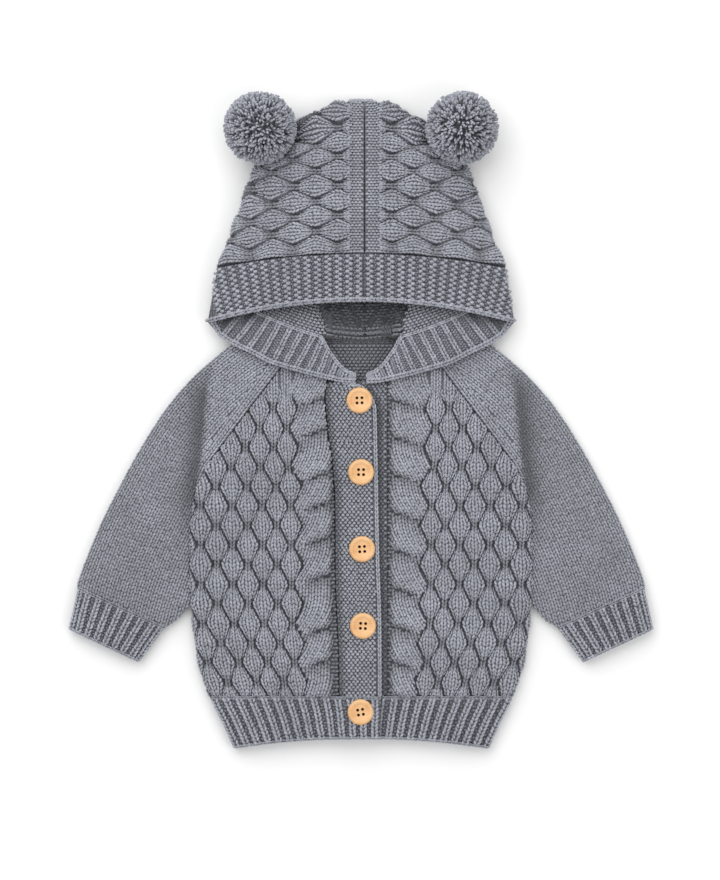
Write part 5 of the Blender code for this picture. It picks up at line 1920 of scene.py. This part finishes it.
def make_hood():
    halves = [make_hood_half(side, name) for side, name in ((-1, "right"), (1, "left"))]
    half = np.concatenate([girth_stop(even(0, 1, 150)), even(1, 2, 130)[1:]])
    grid = (even(0, 1, 12), np.concatenate([-half[:0:-1], half]))
    item = shell("hood_band_cloth", band_point, grid, grid, ["hood_band"], stitched="both")
    stitches = [knit_forehead(), knit_lapel(1, "left"), knit_lapel(-1, "right")]


# ---------------------------------------------------------------- pompoms and buttons

POMPOM_SEED = 31
STRANDS = 1550
# Distance from the pompom's centre of a strand's places, before its end
STRAND_STOPS = (15.0, 20.0, 24.5)
# Painted shade along a strand, darkest at its root deep in the pompom
STRAND_SHADES = (0.9, 0.6, 0.15, 0.0, 0.0)
STRAND_THICK = (0.85, 1.2)
STRAND_TAPER = (0.6, 0.8, 0.9)
CORE_RADIUS = 22.0


def pompom_core():
    """Places and faces of the ball that keeps light from passing between the strands, painted in shade."""
    core = bmesh.new()
    bmesh.ops.create_icosphere(core, subdivisions=3, radius=CORE_RADIUS)
    core.verts.ensure_lookup_table()
    places = np.array([v.co for v in core.verts])
    faces = np.array([[v.index for v in f.verts] for f in core.faces])
    core.free()
    return places, faces


def make_pompom(side, name):
    own_chance = np.random.default_rng(POMPOM_SEED + side)
    # Places spread evenly over a ball, along a spiral
    i = np.arange(STRANDS) + 0.5
    z = 1 - 2 * i / STRANDS
    turn = i * math.pi * (3 - math.sqrt(5))
    ring = np.sqrt(1 - z * z)
    out = np.stack([ring * np.cos(turn), ring * np.sin(turn), z], axis=1)
    out = unit(out + own_chance.normal(0, 0.045, out.shape))
    lean = unit(out + own_chance.normal(0, 0.13, out.shape))
    reach = (POMPOM_RADIUS + own_chance.normal(-0.7, 0.8, STRANDS).clip(-2.4, 0.3))[:, None]
    root, middle, neck = STRAND_STOPS
    points = np.stack([out * root, out * middle, lean * neck, lean * (reach - 0.3), lean * reach], axis=1)
    centre = np.array([side * POMPOM_PLACE[0], POMPOM_PLACE[1], POMPOM_Z])
    across = unit(np.cross(out, own_chance.normal(0, 1, out.shape)))
    normals = np.repeat(across[:, None, :], RINGS + 2, axis=1)
    thick = own_chance.uniform(*STRAND_THICK, (STRANDS, 1)) * np.array([STRAND_TAPER])
    core_places, core_faces = pompom_core()
    spindles(name + "_yarn", points + centre, normals, thick, np.tile(STRAND_SHADES, (STRANDS, 1)), flat=1.0,
             nodes=[name], core=(core_places + centre, core_faces))


# Section of a button, from the middle of its face round the rim to the middle of its back
ProfileRow = namedtuple("ProfileRow", "radius height")
BUTTON_PROFILE = [
    ProfileRow(0, 1.95),
    ProfileRow(4.5, 1.95),
    ProfileRow(6.2, 2.2),
    ProfileRow(7.0, 3.1),
    ProfileRow(7.9, 3.5),
    ProfileRow(8.8, 3.35),
    ProfileRow(9.6, 2.7),
    ProfileRow(BUTTON_RADIUS, 1.8),
    ProfileRow(9.7, 0.8),
    ProfileRow(8.8, 0),
    ProfileRow(0, 0),
]
BUTTON_STEPS = 56
HOLES = 4
HOLE_RADIUS = 1.15
HOLE_PLACE = 2.7
HOLE_FLOOR = 0.4
HOLE_DEPTH = 8.0


def mesh_from(name, bm):
    mesh = bpy.data.meshes.new(name)
    bm.to_mesh(mesh)
    bm.free()
    return mesh


def button_blank():
    bm = bmesh.new()
    line = [bm.verts.new((row.radius * MM, 0, row.height * MM)) for row in BUTTON_PROFILE]
    edges = [bm.edges.new(pair) for pair in zip(line, line[1:])]
    bmesh.ops.spin(bm, geom=line + edges, cent=(0, 0, 0), axis=(0, 0, 1), angle=2 * math.pi,
                   steps=BUTTON_STEPS, use_merge=True)
    bmesh.ops.remove_doubles(bm, verts=bm.verts[:], dist=1e-6)
    bmesh.ops.recalc_face_normals(bm, faces=bm.faces[:])
    return linked("blank", mesh_from("blank", bm))


def button_hole(number):
    """What is cut out for a hole. Its faces keep the second material of the button, painted black as
    the shadow in the hole.
    """
    bm = bmesh.new()
    bmesh.ops.create_cone(bm, cap_ends=True, segments=20, radius1=HOLE_RADIUS * MM,
                          radius2=HOLE_RADIUS * MM, depth=HOLE_DEPTH * MM)
    for face in bm.faces:
        face.material_index = 1
    hole = linked("hole", mesh_from("hole", bm))
    angle = 2 * math.pi * (number + 0.5) / HOLES
    hole.location = Vector((HOLE_PLACE * math.cos(angle), HOLE_PLACE * math.sin(angle),
                            HOLE_DEPTH / 2 + HOLE_FLOOR)) * MM
    return hole


def make_buttons():
    blank = button_blank()
    holes = [button_hole(k) for k in range(HOLES)]
    for hole in holes:
        blank.modifiers.new("cut", "BOOLEAN").object = hole
    bpy.context.view_layer.update()
    evaluated = blank.evaluated_get(bpy.context.evaluated_depsgraph_get())
    mesh = bpy.data.meshes.new_from_object(evaluated)
    for item in holes + [blank]:
        bpy.data.objects.remove(item)
    for i, (x, y) in enumerate(BUTTON_PLACES):
        copy = mesh.copy()
        copy.shade_smooth()
        copy.set_sharp_from_angle(angle=math.radians(42))
        item = add_object(f"wood_button_{i + 1}", copy, [wood, hole_shadow])
        item.location = Vector((x, y, BUTTON_Z)) * MM
        item.rotation_euler = (0, 0, BUTTON_TURNS[i])
        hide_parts(f"button_{i + 1}")


# ---------------------------------------------------------------- stage

FLOOR_REACH = 3.0
FLOOR_Z = -0.0002
PAPER = (0.93, 0.93, 0.93, 1)
SKY_STRENGTH = 0.74
Light = namedtuple("Light", "name place size power")
LIGHTS = [
    Light("key", (-0.5, 1.1, 1.7), 2.2, 27.0),
    Light("fill", (1.2, -0.6, 1.6), 1.4, 5.0),
]
LIGHTS_AIM = (0, -0.015, 0)
CAMERA_PLACE = (-0.0008, -0.0154, 3.764)
CAMERA_LENS = 200
CAMERA_SENSOR = 36


def make_floor():
    paper = bpy.data.materials.new("floor_white")
    paper.use_nodes = True
    shader = paper.node_tree.nodes["Principled BSDF"]
    shader.inputs["Base Color"].default_value = PAPER
    shader.inputs["Roughness"].default_value = 0.9
    shader.inputs["Specular IOR Level"].default_value = 0.0
    mesh = bpy.data.meshes.new("floor")
    corners = [(x * FLOOR_REACH, y * FLOOR_REACH, 0) for x, y in ((-1, -1), (1, -1), (1, 1), (-1, 1))]
    mesh.from_pydata(corners, [], [(0, 1, 2, 3)])
    mesh.materials.append(paper)
    floor = linked("floor", mesh)
    floor.location.z = FLOOR_Z


def make_stage():
    make_floor()
    scene = bpy.context.scene
    scene.world = bpy.data.worlds.new("studio")
    scene.world.use_nodes = True
    sky = scene.world.node_tree.nodes["Background"]
    sky.inputs["Color"].default_value = (1.0, 1.0, 1.0, 1)
    sky.inputs["Strength"].default_value = SKY_STRENGTH
    for name, place, size, power in LIGHTS:
        light = bpy.data.lights.new(name, "AREA")
        light.size = size
        light.energy = power
        item = linked(name, light)
        item.location = place
        item.rotation_euler = (Vector(LIGHTS_AIM) - Vector(place)).to_track_quat("-Z", "Y").to_euler()
    camera = bpy.data.cameras.new("camera")
    camera.lens = CAMERA_LENS
    camera.sensor_width = CAMERA_SENSOR
    scene.camera = linked("camera", camera)
    scene.camera.location = CAMERA_PLACE
    scene.view_settings.view_transform = "Standard"


make_stage()
make_body()
make_hems()
make_top_band()
make_under_band()
for side, name in ((-1, "right"), (1, "left")):
    make_sleeve(side, name)
    make_cuff(side, name)
make_hood()
for side, name in ((-1, "pompom_right"), (1, "pompom_left")):
    make_pompom(side, name)
make_buttons()
